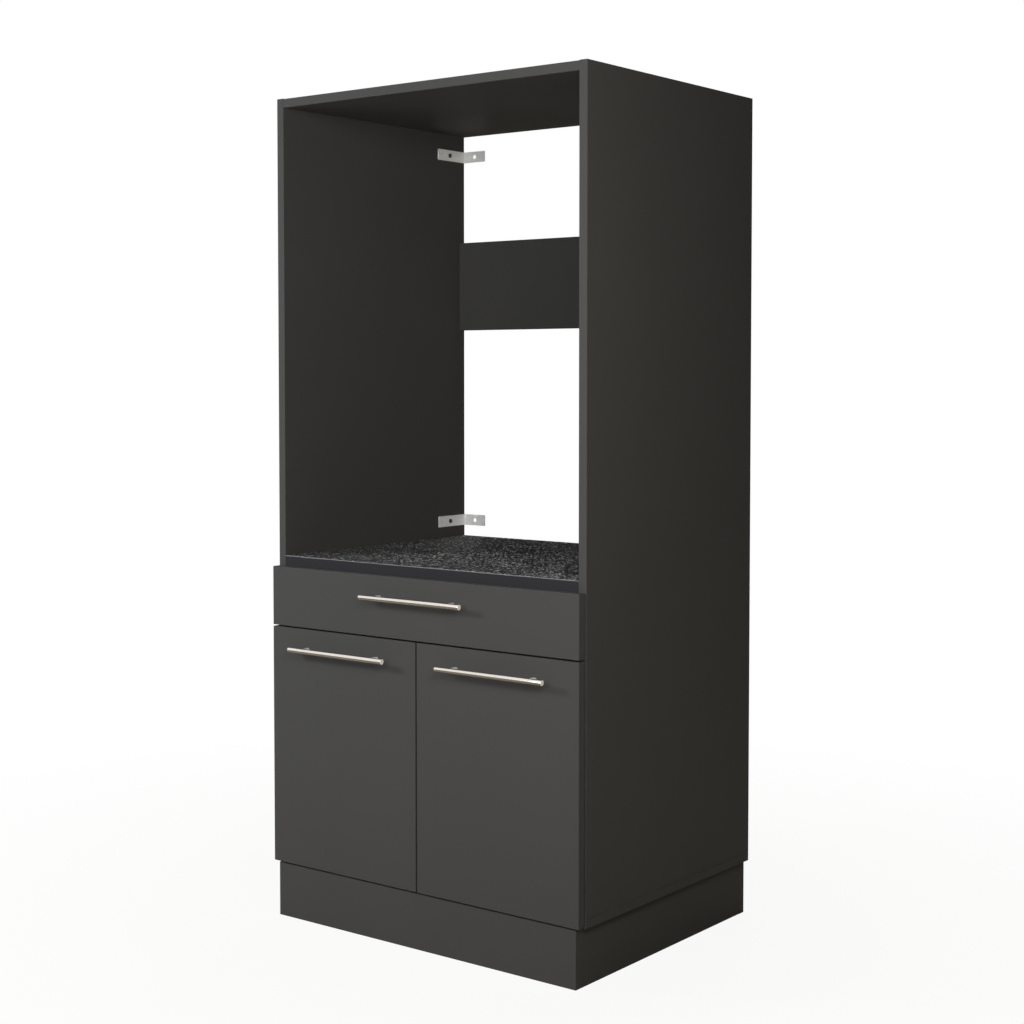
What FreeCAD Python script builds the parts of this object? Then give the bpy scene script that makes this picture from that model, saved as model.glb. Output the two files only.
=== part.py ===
import FreeCAD, Part
import math
import os

# A tall utility cabinet: an open appliance niche with a worktop floor, one drawer on roller
# runners, two doors on concealed hinges and a plinth. Millimetres, +Z up, fronts facing -Y.
# The origin lies on the floor, under the middle of the whole object.

# Carcass boards
cabinet_width = 700.0
carcass_depth = 527.0
side_height = 1400.0
board = 16.0
edge_chamfer = 0.5
top_setdown = 0.8

# Worktop and rear cross rail
worktop_level = 673.0
worktop_thickness = 28.0
edging_thickness = 1.5
edging_chamfer = 1.0
rear_rail_drop = 219.0
rear_rail_height = 180.0

# Lower back panel, held in grooves of the side panels
back_thickness = 3.0
back_inset = 12.0
back_groove = 6.0
groove_play = 0.2

# Front rail between the drawer and the doors
front_rail_depth = 96.0

# Plinth
plinth_height = 100.0
plinth_side_recess = 10.0
plinth_front_recess = 4.5
corner_block = 25.0
corner_block_lift = 20.0

# Drawer front and doors
front_thickness = 16.0
front_gap = 2.5
front_reveal = 1.5
front_joint = 3.0
drawer_front_height = 108.5
worktop_show = 19.0
door_plinth_gap = 3.0

# Bar handles
bar_diameter = 10.0
bar_overhang = 30.0
bar_standoff = 20.0
bar_end_chamfer = 1.0
post_diameter = 8.0
post_spacing = 168.0
drawer_handle_drop = 38.5
door_handle_drop = 37.0
handle_screw_diameter = 4.0
handle_screw_reach = 9.0
handle_screw_head_diameter = 8.0
handle_screw_head = 2.2

# Screws of the hinge plates and the runners, on one line behind the front
system_line = 37.0
rear_line = 80.0
system_pitch = 32.0
system_screw_diameter = 5.0
system_screw_length = 11.0
system_screw_head_diameter = 7.2
system_screw_head = 1.0
hole_play = 0.1

# Shelf and its pins
shelf_setback = 25.0
shelf_rear_gap = 5.0
shelf_play = 1.0
pin_diameter = 5.0
pin_depth = 8.0
pin_reach = 8.0

# Glued dowels that join the boards
dowel_diameter = 8.0
dowel_length = 30.0
dowel_cover = 4.0
dowel_inset = 50.0
rail_dowel_inset = 22.0
rear_dowel_inset = 35.0

# Wall brackets
bracket_thickness = 2.0
bracket_height = 22.0
bracket_side_leg = 85.0
bracket_wall_leg = 55.0
bracket_bend = 3.0
bracket_corner = 1.0
bracket_wall_hole_diameter = 9.0
bracket_wall_hole_offset = 28.5
bracket_screw_offset = 36.0
bracket_spare_hole_diameter = 3.5
bracket_spare_hole_offset = 11.0
lower_bracket_rise = 33.0
upper_bracket_drop = 42.0
bracket_screw_diameter = 4.5
bracket_screw_length = 12.0
bracket_screw_head_diameter = 9.0
bracket_screw_head = 2.4

# Roller runners
runner_sheet = 1.2
runner_rear_space = 60.0
channel_rise = 4.0
flange_overhang = 1.5
channel_setback = 2.0
flange_tip_play = 0.8
flange_lift = 1.0
runner_lap = 1.0
roller_diameter = 17.0
roller_width = 7.0
roller_play = 0.3
roller_end = 1.5
axle_diameter = 5.0
axle_play = 0.05
axle_head_diameter = 8.0
axle_head = 1.0
axle_head_play = 0.2
axle_clearance = 1.85
rivet_fit = 0.02

# Drawer box
drawer_board = 12.0
drawer_top_space = 16.8
drawer_bottom_thickness = 3.0
drawer_groove = 5.0
drawer_bottom_rise = 8.0
drawer_dowel_diameter = 6.0
drawer_dowel_length = 25.0
drawer_dowel_depth = 8.0
drawer_dowel_rise = 20.0
drawer_dowel_drop = 14.0

# Concealed hinges
hinge_inset = 90.0
pivot_inset = 6.0
pivot_depth = 9.0
hinge_pin_diameter = 2.0
hinge_pin_play = 0.05
hinge_pin_hold = 3.0
eye_wall = 0.9
arm_thickness = 2.5
arm_width = 9.0
arm_bend = 1.8
plate_thickness = 3.25
plate_length = 46.0
plate_rib = 12.0
plate_wing = 46.0
plate_wing_width = 13.0
cup_diameter = 35.0
cup_edge = 2.5
cup_floor = 0.8
cup_rim = 1.0
cup_flange = 0.8
cup_play = 0.1
pocket_play = 0.35
ear_length = 56.0
ear_width = 12.0
ear_offset = 4.0

# Door bumpers
bumper_diameter = 6.0
bumper_play = 0.3
bumper_inset = 14.0
bumper_margin = 0.5

# Flats around the small pieces: fluted dowels, screw heads and shanks, shelf and hinge pins, hinge eyes
dowel_sides = 6
head_sides = 8
shank_sides = 6
pin_sides = 8
eye_sides = 8

# Within this distance two edges count as being at one place
same_place = 0.01

# Widths of the runners, from the rollers that they hold
roller_reach = runner_sheet + roller_play + roller_width
channel_flange = roller_reach + flange_overhang
runner_gap = roller_reach + axle_head_play + axle_head + axle_clearance + runner_sheet

# Places across the width
half_width = cabinet_width / 2
inner_x = half_width - board
plinth_x = half_width - plinth_side_recess
door_outer = half_width - front_reveal
door_inner = front_joint / 2
door_middle = (door_outer + door_inner) / 2
drawer_x = inner_x - runner_gap
pivot_x = door_outer - pivot_inset
arm_face = inner_x - plate_thickness
cup_x = door_outer - cup_edge - cup_diameter / 2

# Places from front to back
bar_reach = bar_standoff + bar_diameter / 2
overall_depth = bar_reach + front_thickness + front_gap + carcass_depth
front_face = bar_reach - overall_depth / 2
front_back = front_face + front_thickness
carcass_front = front_back + front_gap
carcass_back = carcass_front + carcass_depth
back_face = carcass_back - back_inset - back_thickness
bar_y = front_face - bar_standoff
plinth_face = front_face + plinth_front_recess
system_y = carcass_front + system_line
rear_line_y = carcass_back - rear_line
rear_rail_y = carcass_back - board / 2
pivot_y = front_back - pivot_depth
channel_front = carcass_front + channel_setback
runner_length = back_face - runner_rear_space - channel_front
drawer_end = front_back + runner_length
front_roller_y = channel_front + roller_end + roller_diameter / 2
rear_roller_y = drawer_end - roller_end - roller_diameter / 2

# Places up the height
floor_top = plinth_height + board
cabinet_top = floor_top + side_height
top_upper = cabinet_top - top_setdown
top_under = top_upper - board
worktop_under = worktop_level - worktop_thickness
rear_rail_top = top_under - rear_rail_drop
rear_rail_bottom = rear_rail_top - rear_rail_height
drawer_front_top = worktop_level - worktop_show
drawer_front_bottom = drawer_front_top - drawer_front_height
front_split = drawer_front_bottom - front_joint / 2
front_rail_under = front_split - board / 2
front_rail_top = front_split + board / 2
door_bottom = plinth_height + door_plinth_gap
door_top = front_split - front_joint / 2
drawer_handle_z = drawer_front_top - drawer_handle_drop
door_handle_z = door_top - door_handle_drop
hinge_levels = (door_bottom + hinge_inset, door_top - hinge_inset)
bracket_levels = (worktop_level + lower_bracket_rise, top_under - upper_bracket_drop)
channel_under = front_rail_top + channel_rise
roller_z = channel_under + runner_sheet + roller_play + roller_diameter / 2
flange_under = roller_z + roller_diameter / 2 + roller_play
channel_top = flange_under + flange_lift + 2 * runner_sheet
drawer_under = channel_under + runner_lap + runner_sheet
drawer_top = worktop_under - drawer_top_space
drawer_floor = drawer_under + drawer_bottom_rise
shelf_level = (floor_top + front_rail_under - board) / 2
shelf_pin_z = shelf_level - pin_diameter / 2

# Sizes that follow from the fits
bar_length = post_spacing + 2 * bar_overhang
bumper_thickness = front_gap - bumper_play
eye_radius = hinge_pin_diameter / 2 + hinge_pin_play + eye_wall
pocket_depth = pivot_depth + eye_radius + pocket_play
cup_depth = pocket_depth + cup_floor

ALONG_X = FreeCAD.Vector(1, 0, 0)
ALONG_Y = FreeCAD.Vector(0, 1, 0)
ALONG_Z = FreeCAD.Vector(0, 0, 1)
ORIGIN = FreeCAD.Vector(0, 0, 0)


def box(x0, x1, y0, y1, z0, z1):
    """A plain block between two corners."""
    return Part.makeBox(x1 - x0, y1 - y0, z1 - z0, FreeCAD.Vector(x0, y0, z0))


def slab(x0, x1, y0, y1, z0, z1):
    """A board with its edges broken by the edging's small chamfer."""
    block = box(x0, x1, y0, y1, z0, z1)
    return block.makeChamfer(edge_chamfer, block.Edges)


def rod(x, y, z, axis, diameter, length):
    """A round bar that starts at a point and runs along an axis."""
    return Part.makeCylinder(diameter / 2, length, FreeCAD.Vector(x, y, z), axis)


def flats(x, y, z, axis, diameter, length, sides):
    """A prism that starts at a point and runs along an axis, measured across its corners."""
    across = ALONG_X if abs(axis.z) > abs(axis.x) else ALONG_Z
    upright = axis.cross(across)
    points = []
    for index in range(sides):
        angle = 2 * math.pi * index / sides
        spoke = across * math.cos(angle) + upright * math.sin(angle)
        points.append(FreeCAD.Vector(x, y, z) + spoke * (diameter / 2))
    return prism(points, axis * length)


def bore(x, y, z, axis, diameter, play, length):
    """A flat-sided hole that clears a round pin by some play at the middle of each flat."""
    across = (diameter + 2 * play) / math.cos(math.pi / pin_sides)
    return flats(x, y, z, axis, across, length, pin_sides)


def screw_hole(x, y, z, axis, diameter, length):
    """The hole for a screw's shank, from the face under its head."""
    return flats(x, y, z, axis, diameter + 2 * hole_play, length + hole_play, shank_sides)


def screw(x, y, z, axis, diameter, length, head_diameter, head):
    """A screw with its head on the face at a point and its shank along an axis."""
    shank = flats(x, y, z, axis, diameter, length, shank_sides)
    cap = flats(x, y, z, -axis, head_diameter, head, head_sides)
    return shank.fuse(cap).removeSplitter()


def prism(points, direction):
    """A closed outline pushed along a vector."""
    wire = Part.makePolygon(points + points[:1])
    return Part.Face(wire).extrude(direction)


def mirrored(shape):
    """The same piece on the other side of the cabinet."""
    return shape.mirror(ORIGIN, ALONG_X)


def pair(shapes):
    """Pieces of the right side with their mirror images."""
    return shapes + [mirrored(shape) for shape in shapes]


def upright_edges(shape, x, y):
    """The edges along Z that stand at a point of the plan."""
    return [edge for edge in shape.Edges if edge.BoundBox.ZLength > same_place
            and math.hypot(edge.CenterOfMass.x - x, edge.CenterOfMass.y - y) < same_place]


# Joinery

def dowel_places():
    """Points (y, z) where a dowel joins a cross board to the side panel."""
    worktop_middle = worktop_under + worktop_thickness / 2
    top_middle = top_under + board / 2
    places = []
    for level in (worktop_middle, top_middle):
        places.append((carcass_front + dowel_inset, level))
        places.append((carcass_back - dowel_inset, level))
    places.append((carcass_front + rail_dowel_inset, front_split))
    places.append((carcass_front + front_rail_depth - rail_dowel_inset, front_split))
    places.append((rear_rail_y, rear_rail_bottom + rear_dowel_inset))
    places.append((rear_rail_y, rear_rail_top - rear_dowel_inset))
    return places


def dowel(x, y, z, axis, play):
    """A carcass dowel that starts at a point, or its hole with play all round."""
    return flats(x, y, z, axis, dowel_diameter + 2 * play, dowel_length + 2 * play, dowel_sides)


def dowels(play):
    """The level dowels of the right-hand joints, or their holes."""
    start = inner_x - dowel_length + board - dowel_cover - play
    return [dowel(start, y, z, ALONG_X, play) for y, z in dowel_places()]


def upright_dowels(play):
    """The dowels between the bottom board and the right side panel, or their holes."""
    x = half_width - board / 2
    start = plinth_height + dowel_cover - play
    rows = (carcass_front + dowel_inset, carcass_front + carcass_depth / 2, carcass_back - dowel_inset)
    return [dowel(x, y, start, ALONG_Z, play) for y in rows]


def joined(shape):
    """A cross board with the dowel holes of its two ends."""
    return shape.cut(pair(dowels(hole_play)))


# Carcass

def system_screw_places():
    """Points (y, z) of the screws that hold the right hinge plates."""
    return [(system_y, level + side * system_pitch / 2) for level in hinge_levels for side in (-1, 1)]


def runner_screw_places():
    """Points (y, z) of the screws that hold a cabinet channel."""
    return [(system_y, roller_z), (rear_line_y, roller_z)]


def side_panel():
    """The right side panel, with the holes of all that is fixed to it."""
    panel = slab(inner_x, half_width, carcass_front, carcass_back, floor_top, cabinet_top)
    groove = box(inner_x, inner_x + back_groove + groove_play, back_face - groove_play,
                 back_face + back_thickness + groove_play, floor_top, worktop_under)
    cuts = [groove] + dowels(hole_play) + upright_dowels(hole_play)
    cuts += [shelf_pin(y, hole_play) for y in (system_y, rear_line_y)]
    cuts += [screw_hole(inner_x, y, z, ALONG_X, system_screw_diameter, system_screw_length)
             for y, z in system_screw_places() + runner_screw_places()]
    cuts += [bracket_screw_hole(level) for level in bracket_levels]
    return panel.cut(cuts)


def top_panel():
    """The top board between the side panels."""
    return joined(slab(-inner_x, inner_x, carcass_front, carcass_back, top_under, top_upper))


def bottom_board():
    """The bottom board, which carries the side panels."""
    panel = slab(-half_width, half_width, carcass_front, carcass_back, plinth_height, floor_top)
    return panel.cut(pair(upright_dowels(hole_play)))


def worktop():
    """The worktop that is the floor of the niche, behind its front edging."""
    return joined(box(-inner_x, inner_x, carcass_front + edging_thickness, carcass_back,
                      worktop_under, worktop_level))


def worktop_edging():
    """The plain strip on the worktop's front edge."""
    strip = box(-inner_x, inner_x, carcass_front, carcass_front + edging_thickness,
                worktop_under, worktop_level)
    front_edges = [edge for edge in strip.Edges if edge.BoundBox.YMax < carcass_front + same_place
                   and edge.BoundBox.ZLength < same_place]
    return strip.makeChamfer(edging_chamfer, front_edges)


def rear_cross_rail():
    """The upright board across the back of the niche."""
    return joined(slab(-inner_x, inner_x, carcass_back - board, carcass_back,
                       rear_rail_bottom, rear_rail_top))


def front_rail():
    """The flat board between the drawer and the doors."""
    return joined(box(-inner_x, inner_x, carcass_front, carcass_front + front_rail_depth,
                      front_rail_under, front_rail_top))


def lower_back_panel():
    """The thin back behind the drawer and the doors."""
    reach = inner_x + back_groove
    return box(-reach, reach, back_face, back_face + back_thickness, floor_top, worktop_under)


def shelf():
    """The loose shelf in the cupboard."""
    reach = inner_x - shelf_play
    return box(-reach, reach, carcass_front + shelf_setback, back_face - shelf_rear_gap,
               shelf_level, shelf_level + board)


def shelf_pin(y, play):
    """A pin with one end in the side panel and the other under the shelf, or its hole."""
    return flats(inner_x - pin_reach, y, shelf_pin_z, ALONG_X, pin_diameter + 2 * play,
                 pin_reach + pin_depth + play, pin_sides)


# Plinth

def plinth_front():
    """The board below the doors."""
    return slab(-plinth_x, plinth_x, plinth_face, plinth_face + board, 0, plinth_height)


def plinth_rear():
    """The board across the back of the plinth."""
    return box(-plinth_x, plinth_x, carcass_back - board, carcass_back, 0, plinth_height)


def plinth_return():
    """The right-hand board from front to back."""
    return slab(plinth_x - board, plinth_x, plinth_face + board, carcass_back - board, 0, plinth_height)


def plinth_blocks():
    """The two right-hand corner blocks inside the plinth."""
    x1 = plinth_x - board
    front_y = plinth_face + board
    rear_y = carcass_back - board - corner_block
    return [box(x1 - corner_block, x1, y, y + corner_block, corner_block_lift, plinth_height)
            for y in (front_y, rear_y)]


# Wall brackets

def wall_bracket(level):
    """A bent steel angle in the rear corner of the niche, flush with the cabinet's back."""
    x0 = inner_x - bracket_wall_leg
    x1 = inner_x - bracket_thickness
    y0 = carcass_back - bracket_side_leg
    y1 = carcass_back - bracket_thickness
    z0 = level - bracket_height / 2
    outline = [FreeCAD.Vector(inner_x, y0, z0), FreeCAD.Vector(inner_x, carcass_back, z0),
               FreeCAD.Vector(x0, carcass_back, z0), FreeCAD.Vector(x0, y1, z0),
               FreeCAD.Vector(x1, y1, z0), FreeCAD.Vector(x1, y0, z0)]
    angle = prism(outline, ALONG_Z * bracket_height)
    angle = angle.makeFillet(bracket_bend, upright_edges(angle, inner_x, carcass_back))
    tips = [edge for edge in angle.Edges if edge.BoundBox.ZLength < same_place
            and (edge.BoundBox.XMax < x0 + same_place or edge.BoundBox.YMax < y0 + same_place)]
    angle = angle.makeChamfer(bracket_corner, tips)
    wall_hole = rod(inner_x - bracket_wall_hole_offset, y1, level, ALONG_Y,
                    bracket_wall_hole_diameter, bracket_thickness)
    spare_hole = flats(x1, y0 + bracket_spare_hole_offset, level, ALONG_X,
                       bracket_spare_hole_diameter, bracket_thickness, pin_sides)
    return angle.cut([wall_hole, spare_hole, bracket_screw_hole(level)])


def bracket_screw_hole(level):
    """The hole of a bracket's screw, through its side leg and into the side panel."""
    y = carcass_back - bracket_side_leg + bracket_screw_offset
    return screw_hole(inner_x - bracket_thickness, y, level, ALONG_X, bracket_screw_diameter,
                      bracket_thickness + bracket_screw_length)


def bracket_screw(level):
    """The screw through a bracket's side leg into the side panel."""
    y = carcass_back - bracket_side_leg + bracket_screw_offset
    return screw(inner_x - bracket_thickness, y, level, ALONG_X, bracket_screw_diameter,
                 bracket_thickness + bracket_screw_length, bracket_screw_head_diameter, bracket_screw_head)


# Roller runners

def runner_channel():
    """The right cabinet channel: a C of steel sheet on the side panel."""
    x1 = inner_x - runner_sheet
    x0 = inner_x - channel_flange
    lower = channel_under + runner_sheet
    upper = channel_top - runner_sheet
    section = [(inner_x, channel_under), (x0, channel_under), (x0, lower), (x1, lower),
               (x1, upper), (x0, upper), (x0, channel_top), (inner_x, channel_top)]
    outline = [FreeCAD.Vector(x, channel_front, z) for x, z in section]
    channel = prism(outline, ALONG_Y * runner_length)
    return channel.cut([screw_hole(x1, y, z, ALONG_X, system_screw_diameter, runner_sheet)
                        for y, z in runner_screw_places()])


def drawer_runner():
    """The right drawer profile: a leg under the drawer side and a flange that rides on the roller."""
    leg_x = drawer_x + runner_sheet
    tip_x = inner_x - runner_sheet - flange_tip_play
    flange_top = flange_under + runner_sheet
    section = [(drawer_x - drawer_board, drawer_under - runner_sheet), (leg_x, drawer_under - runner_sheet),
               (leg_x, flange_under), (tip_x, flange_under), (tip_x, flange_top), (drawer_x, flange_top),
               (drawer_x, drawer_under), (drawer_x - drawer_board, drawer_under)]
    outline = [FreeCAD.Vector(x, front_back, z) for x, z in section]
    return prism(outline, ALONG_Y * runner_length)


def roller(x, y, facing):
    """A nylon roller that runs on its axle, beside the sheet that carries it."""
    way = ALONG_X * facing
    blank = rod(x, y, roller_z, way, roller_diameter, roller_width)
    return blank.cut(bore(x, y, roller_z, way, axle_diameter, axle_play, roller_width))


def axle(x, y, facing):
    """A rivet that stands on the sheet, with its head outside the roller."""
    way = ALONG_X * facing
    neck = roller_play + roller_width + axle_head_play
    shaft = rod(x, y, roller_z, way, axle_diameter, neck)
    head = flats(x + facing * neck, y, roller_z, way, axle_head_diameter, axle_head, head_sides)
    return shaft.fuse(head)


def front_roller():
    """The right roller at the front of the cabinet channel."""
    return roller(inner_x - runner_sheet - roller_play, front_roller_y, -1)


def rear_roller():
    """The right roller at the back of the drawer profile."""
    return roller(drawer_x + runner_sheet + roller_play, rear_roller_y, 1)


def runner_screw(y, z):
    """A flat-headed screw through a cabinet channel."""
    return screw(inner_x - runner_sheet, y, z, ALONG_X, system_screw_diameter,
                 runner_sheet + system_screw_length, system_screw_head_diameter, system_screw_head)


# Drawer

def drawer_dowel_levels():
    """Heights of the two dowels in each corner of the drawer."""
    return (drawer_under + drawer_dowel_rise, drawer_top - drawer_dowel_drop)


def drawer_dowel(x, y, z, axis, play):
    """A drawer dowel that starts at a point, or its hole with play all round."""
    return flats(x, y, z, axis, drawer_dowel_diameter + 2 * play, drawer_dowel_length + 2 * play,
                 dowel_sides)


def drawer_front_dowels(play):
    """The right-hand dowels between the drawer front and the drawer side."""
    x = drawer_x - drawer_board / 2
    start = front_back - drawer_dowel_depth - play
    return [drawer_dowel(x, start, z, ALONG_Y, play) for z in drawer_dowel_levels()]


def drawer_back_dowels(play):
    """The right-hand dowels between the drawer side and the drawer back."""
    y = drawer_end - drawer_board / 2
    start = drawer_x - drawer_board + drawer_dowel_depth - drawer_dowel_length - play
    return [drawer_dowel(start, y, z, ALONG_X, play) for z in drawer_dowel_levels()]


def drawer_groove_cut():
    """The groove that the drawer bottom slides into, in the sides and the front."""
    reach = drawer_x - drawer_board + drawer_groove + groove_play
    return box(-reach, reach, front_back - drawer_groove - groove_play, drawer_end,
               drawer_floor - groove_play, drawer_floor + drawer_bottom_thickness + groove_play)


def drawer_side():
    """The right drawer side."""
    side = box(drawer_x - drawer_board, drawer_x, front_back, drawer_end, drawer_under, drawer_top)
    return side.cut(drawer_front_dowels(hole_play) + drawer_back_dowels(hole_play) + [drawer_groove_cut()])


def drawer_back():
    """The drawer back, which stands on the drawer bottom."""
    reach = drawer_x - drawer_board
    panel = box(-reach, reach, drawer_end - drawer_board, drawer_end,
                drawer_floor + drawer_bottom_thickness + groove_play, drawer_top)
    return panel.cut(pair(drawer_back_dowels(hole_play)))


def drawer_bottom():
    """The thin drawer bottom in its grooves."""
    reach = drawer_x - drawer_board + drawer_groove
    return box(-reach, reach, front_back - drawer_groove, drawer_end,
               drawer_floor, drawer_floor + drawer_bottom_thickness)


def drawer_front():
    """The drawer front, with its groove, dowel holes and handle holes."""
    panel = slab(-door_outer, door_outer, front_face, front_back, drawer_front_bottom, drawer_front_top)
    cuts = pair(drawer_front_dowels(hole_play)) + [drawer_groove_cut()]
    return panel.cut(cuts + handle_screw_holes(0, drawer_handle_z))


# Handles

def handle_bar(x, z):
    """A round bar with broken ends, in front of its panel."""
    bar = rod(x - bar_length / 2, bar_y, z, ALONG_X, bar_diameter, bar_length)
    ends = [edge for edge in bar.Edges if edge.BoundBox.XLength < same_place]
    return bar.makeChamfer(bar_end_chamfer, ends)


def handle_posts(x, z):
    """Two posts whose tips are coped to the bar, tapped for their screws."""
    bar = rod(x - bar_length / 2, bar_y, z, ALONG_X, bar_diameter, bar_length)
    cuts = [bar] + handle_screw_holes(x, z)
    return [rod(x + side * post_spacing / 2, bar_y, z, ALONG_Y, post_diameter, bar_standoff).cut(cuts)
            for side in (-1, 1)]


def handle_screw_holes(x, z):
    """The holes of a handle's two screws, through the panel and into the posts."""
    return [screw_hole(x + side * post_spacing / 2, front_back, z, -ALONG_Y, handle_screw_diameter,
                       front_thickness + handle_screw_reach) for side in (-1, 1)]


def handle_screws(x, z):
    """Two screws from behind the panel into the posts."""
    return [screw(x + side * post_spacing / 2, front_back, z, -ALONG_Y, handle_screw_diameter,
                  front_thickness + handle_screw_reach, handle_screw_head_diameter, handle_screw_head)
            for side in (-1, 1)]


# Doors and hinges

def cup_bore(level):
    """The round bore in the door's back for a hinge cup."""
    return rod(cup_x, front_back - cup_depth - cup_play, level, ALONG_Y,
               cup_diameter + 2 * cup_play, cup_depth + cup_play)


def hinge_cup(level):
    """A cup with a rim and two ears on the door's back, and the pocket that its arm swings in."""
    body = rod(cup_x, front_back - cup_depth, level, ALONG_Y, cup_diameter, cup_depth)
    rim = rod(cup_x, front_back, level, ALONG_Y, cup_diameter + 2 * cup_rim, cup_flange)
    ears = box(cup_x - ear_offset - ear_width / 2, cup_x - ear_offset + ear_width / 2,
               front_back, front_back + cup_flange, level - ear_length / 2, level + ear_length / 2)
    half_pocket = arm_width / 2 + pocket_play
    pocket = box(arm_face - arm_thickness - pocket_play, pivot_x + eye_radius + pocket_play,
                 front_back - pocket_depth, front_back + cup_flange, level - half_pocket, level + half_pocket)
    return body.fuse([rim, ears]).removeSplitter().cut([pocket, pin_seat(level)])


def pin_seat(level):
    """The holes in a cup that hold its pin, a little clear of it all round."""
    reach = arm_width / 2 + pocket_play + hinge_pin_hold + rivet_fit
    return bore(pivot_x, pivot_y, level - reach, ALONG_Z, hinge_pin_diameter, rivet_fit, 2 * reach)


def hinge_pin(level):
    """The upright pin across a cup's pocket."""
    reach = arm_width / 2 + pocket_play + hinge_pin_hold
    return flats(pivot_x, pivot_y, level - reach, ALONG_Z, hinge_pin_diameter, 2 * reach, pin_sides)


def hinge_arm(level):
    """A cranked arm: an eye on the pin, a neck in the cup and a leg on the mounting plate."""
    z0 = level - arm_width / 2
    z1 = level + arm_width / 2
    leg_x = arm_face - arm_thickness
    neck_y = pivot_y - arm_thickness / 2
    leg = box(leg_x, arm_face, neck_y, system_y + plate_length / 2, z0, z1)
    neck = box(leg_x, pivot_x, neck_y, neck_y + arm_thickness, z0, z1)
    crank = leg.fuse(neck).removeSplitter()
    crank = crank.makeChamfer(arm_bend, upright_edges(crank, leg_x, neck_y))
    eye = flats(pivot_x, pivot_y, z0, ALONG_Z, 2 * eye_radius, arm_width, eye_sides)
    pin_hole = bore(pivot_x, pivot_y, z0, ALONG_Z, hinge_pin_diameter, hinge_pin_play, arm_width)
    return crank.fuse(eye).cut(pin_hole)


def plate_screw(y, z):
    """A screw through a mounting plate into the side panel."""
    return screw(arm_face, y, z, ALONG_X, system_screw_diameter, plate_thickness + system_screw_length,
                 system_screw_head_diameter, system_screw_head)


def hinge_plate(level):
    """A cross-shaped mounting plate: a rib under the arm and two screwed wings."""
    rib = box(arm_face, inner_x, system_y - plate_length / 2, system_y + plate_length / 2,
              level - plate_rib / 2, level + plate_rib / 2)
    wings = box(arm_face, inner_x, system_y - plate_wing_width / 2, system_y + plate_wing_width / 2,
                level - plate_wing / 2, level + plate_wing / 2)
    holes = [screw_hole(arm_face, y, z, ALONG_X, system_screw_diameter, plate_thickness)
             for y, z in system_screw_places()]
    return rib.fuse(wings).removeSplitter().cut(holes)


def door():
    """The right door, with its bores for the hinge cups and the handle."""
    panel = slab(door_inner, door_outer, front_face, front_back, door_bottom, door_top)
    cups = [cup_bore(level) for level in hinge_levels]
    return panel.cut(cups + handle_screw_holes(door_middle, door_handle_z))


def door_bumpers():
    """Two soft dots on the right door's back, near its free edge."""
    x = door_inner + bumper_inset
    offset = bumper_margin + bumper_diameter / 2
    levels = (floor_top - offset, door_top - offset)
    return [flats(x, front_back, z, ALONG_Y, bumper_diameter, bumper_thickness, head_sides) for z in levels]


def export(name, solids):
    """Write one node: a single piece, or a group of alike pieces."""
    shape = solids[0] if len(solids) == 1 else Part.makeCompound(solids)
    shape.exportStep("parts/" + name + ".step")


def carcass_nodes():
    """The boards, joinery and fittings that stay still."""
    axles = [axle(inner_x - runner_sheet, front_roller_y, -1)]
    fixings = [plate_screw(y, z) for y, z in system_screw_places()]
    fixings += [runner_screw(y, z) for y, z in runner_screw_places()]
    brackets = [wall_bracket(level) for level in bracket_levels]
    return {
        "left_side_panel": [mirrored(side_panel())],
        "right_side_panel": [side_panel()],
        "top_panel": [top_panel()],
        "bottom_board": [bottom_board()],
        "worktop": [worktop()],
        "worktop_edging": [worktop_edging()],
        "rear_cross_rail": [rear_cross_rail()],
        "front_rail": [front_rail()],
        "lower_back_panel": [lower_back_panel()],
        "shelf": [shelf()],
        "shelf_pins": pair([shelf_pin(y, 0) for y in (system_y, rear_line_y)]),
        "plinth_front": [plinth_front()],
        "plinth_rear": [plinth_rear()],
        "plinth_left": [mirrored(plinth_return())],
        "plinth_right": [plinth_return()],
        "plinth_corner_blocks": pair(plinth_blocks()),
        "carcass_dowels": pair(dowels(0) + upright_dowels(0)),
        "left_wall_brackets": [mirrored(bracket) for bracket in brackets],
        "right_wall_brackets": brackets,
        "bracket_screws": pair([bracket_screw(level) for level in bracket_levels]),
        "left_runner_channel": [mirrored(runner_channel())],
        "right_runner_channel": [runner_channel()],
        "channel_axles": pair(axles),
        "fitting_screws": pair(fixings),
        "hinge_plates": pair([hinge_plate(level) for level in hinge_levels]),
        "hinge_arms": pair([hinge_arm(level) for level in hinge_levels]),
    }


def drawer_nodes():
    """The drawer box, its profiles and its handle."""
    return {
        "drawer_front": [drawer_front()],
        "drawer_left_side": [mirrored(drawer_side())],
        "drawer_right_side": [drawer_side()],
        "drawer_back": [drawer_back()],
        "drawer_bottom": [drawer_bottom()],
        "drawer_dowels": pair(drawer_front_dowels(0) + drawer_back_dowels(0)),
        "drawer_left_runner": [mirrored(drawer_runner())],
        "drawer_right_runner": [drawer_runner()],
        "drawer_axles": pair([axle(drawer_x + runner_sheet, rear_roller_y, 1)]),
        "drawer_handle_bar": [handle_bar(0, drawer_handle_z)],
        "drawer_handle_posts": handle_posts(0, drawer_handle_z),
        "drawer_handle_screws": handle_screws(0, drawer_handle_z),
    }


def roller_nodes():
    """The four runner rollers."""
    return {
        "front_left_roller": [mirrored(front_roller())],
        "front_right_roller": [front_roller()],
        "rear_left_roller": [mirrored(rear_roller())],
        "rear_right_roller": [rear_roller()],
    }


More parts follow.
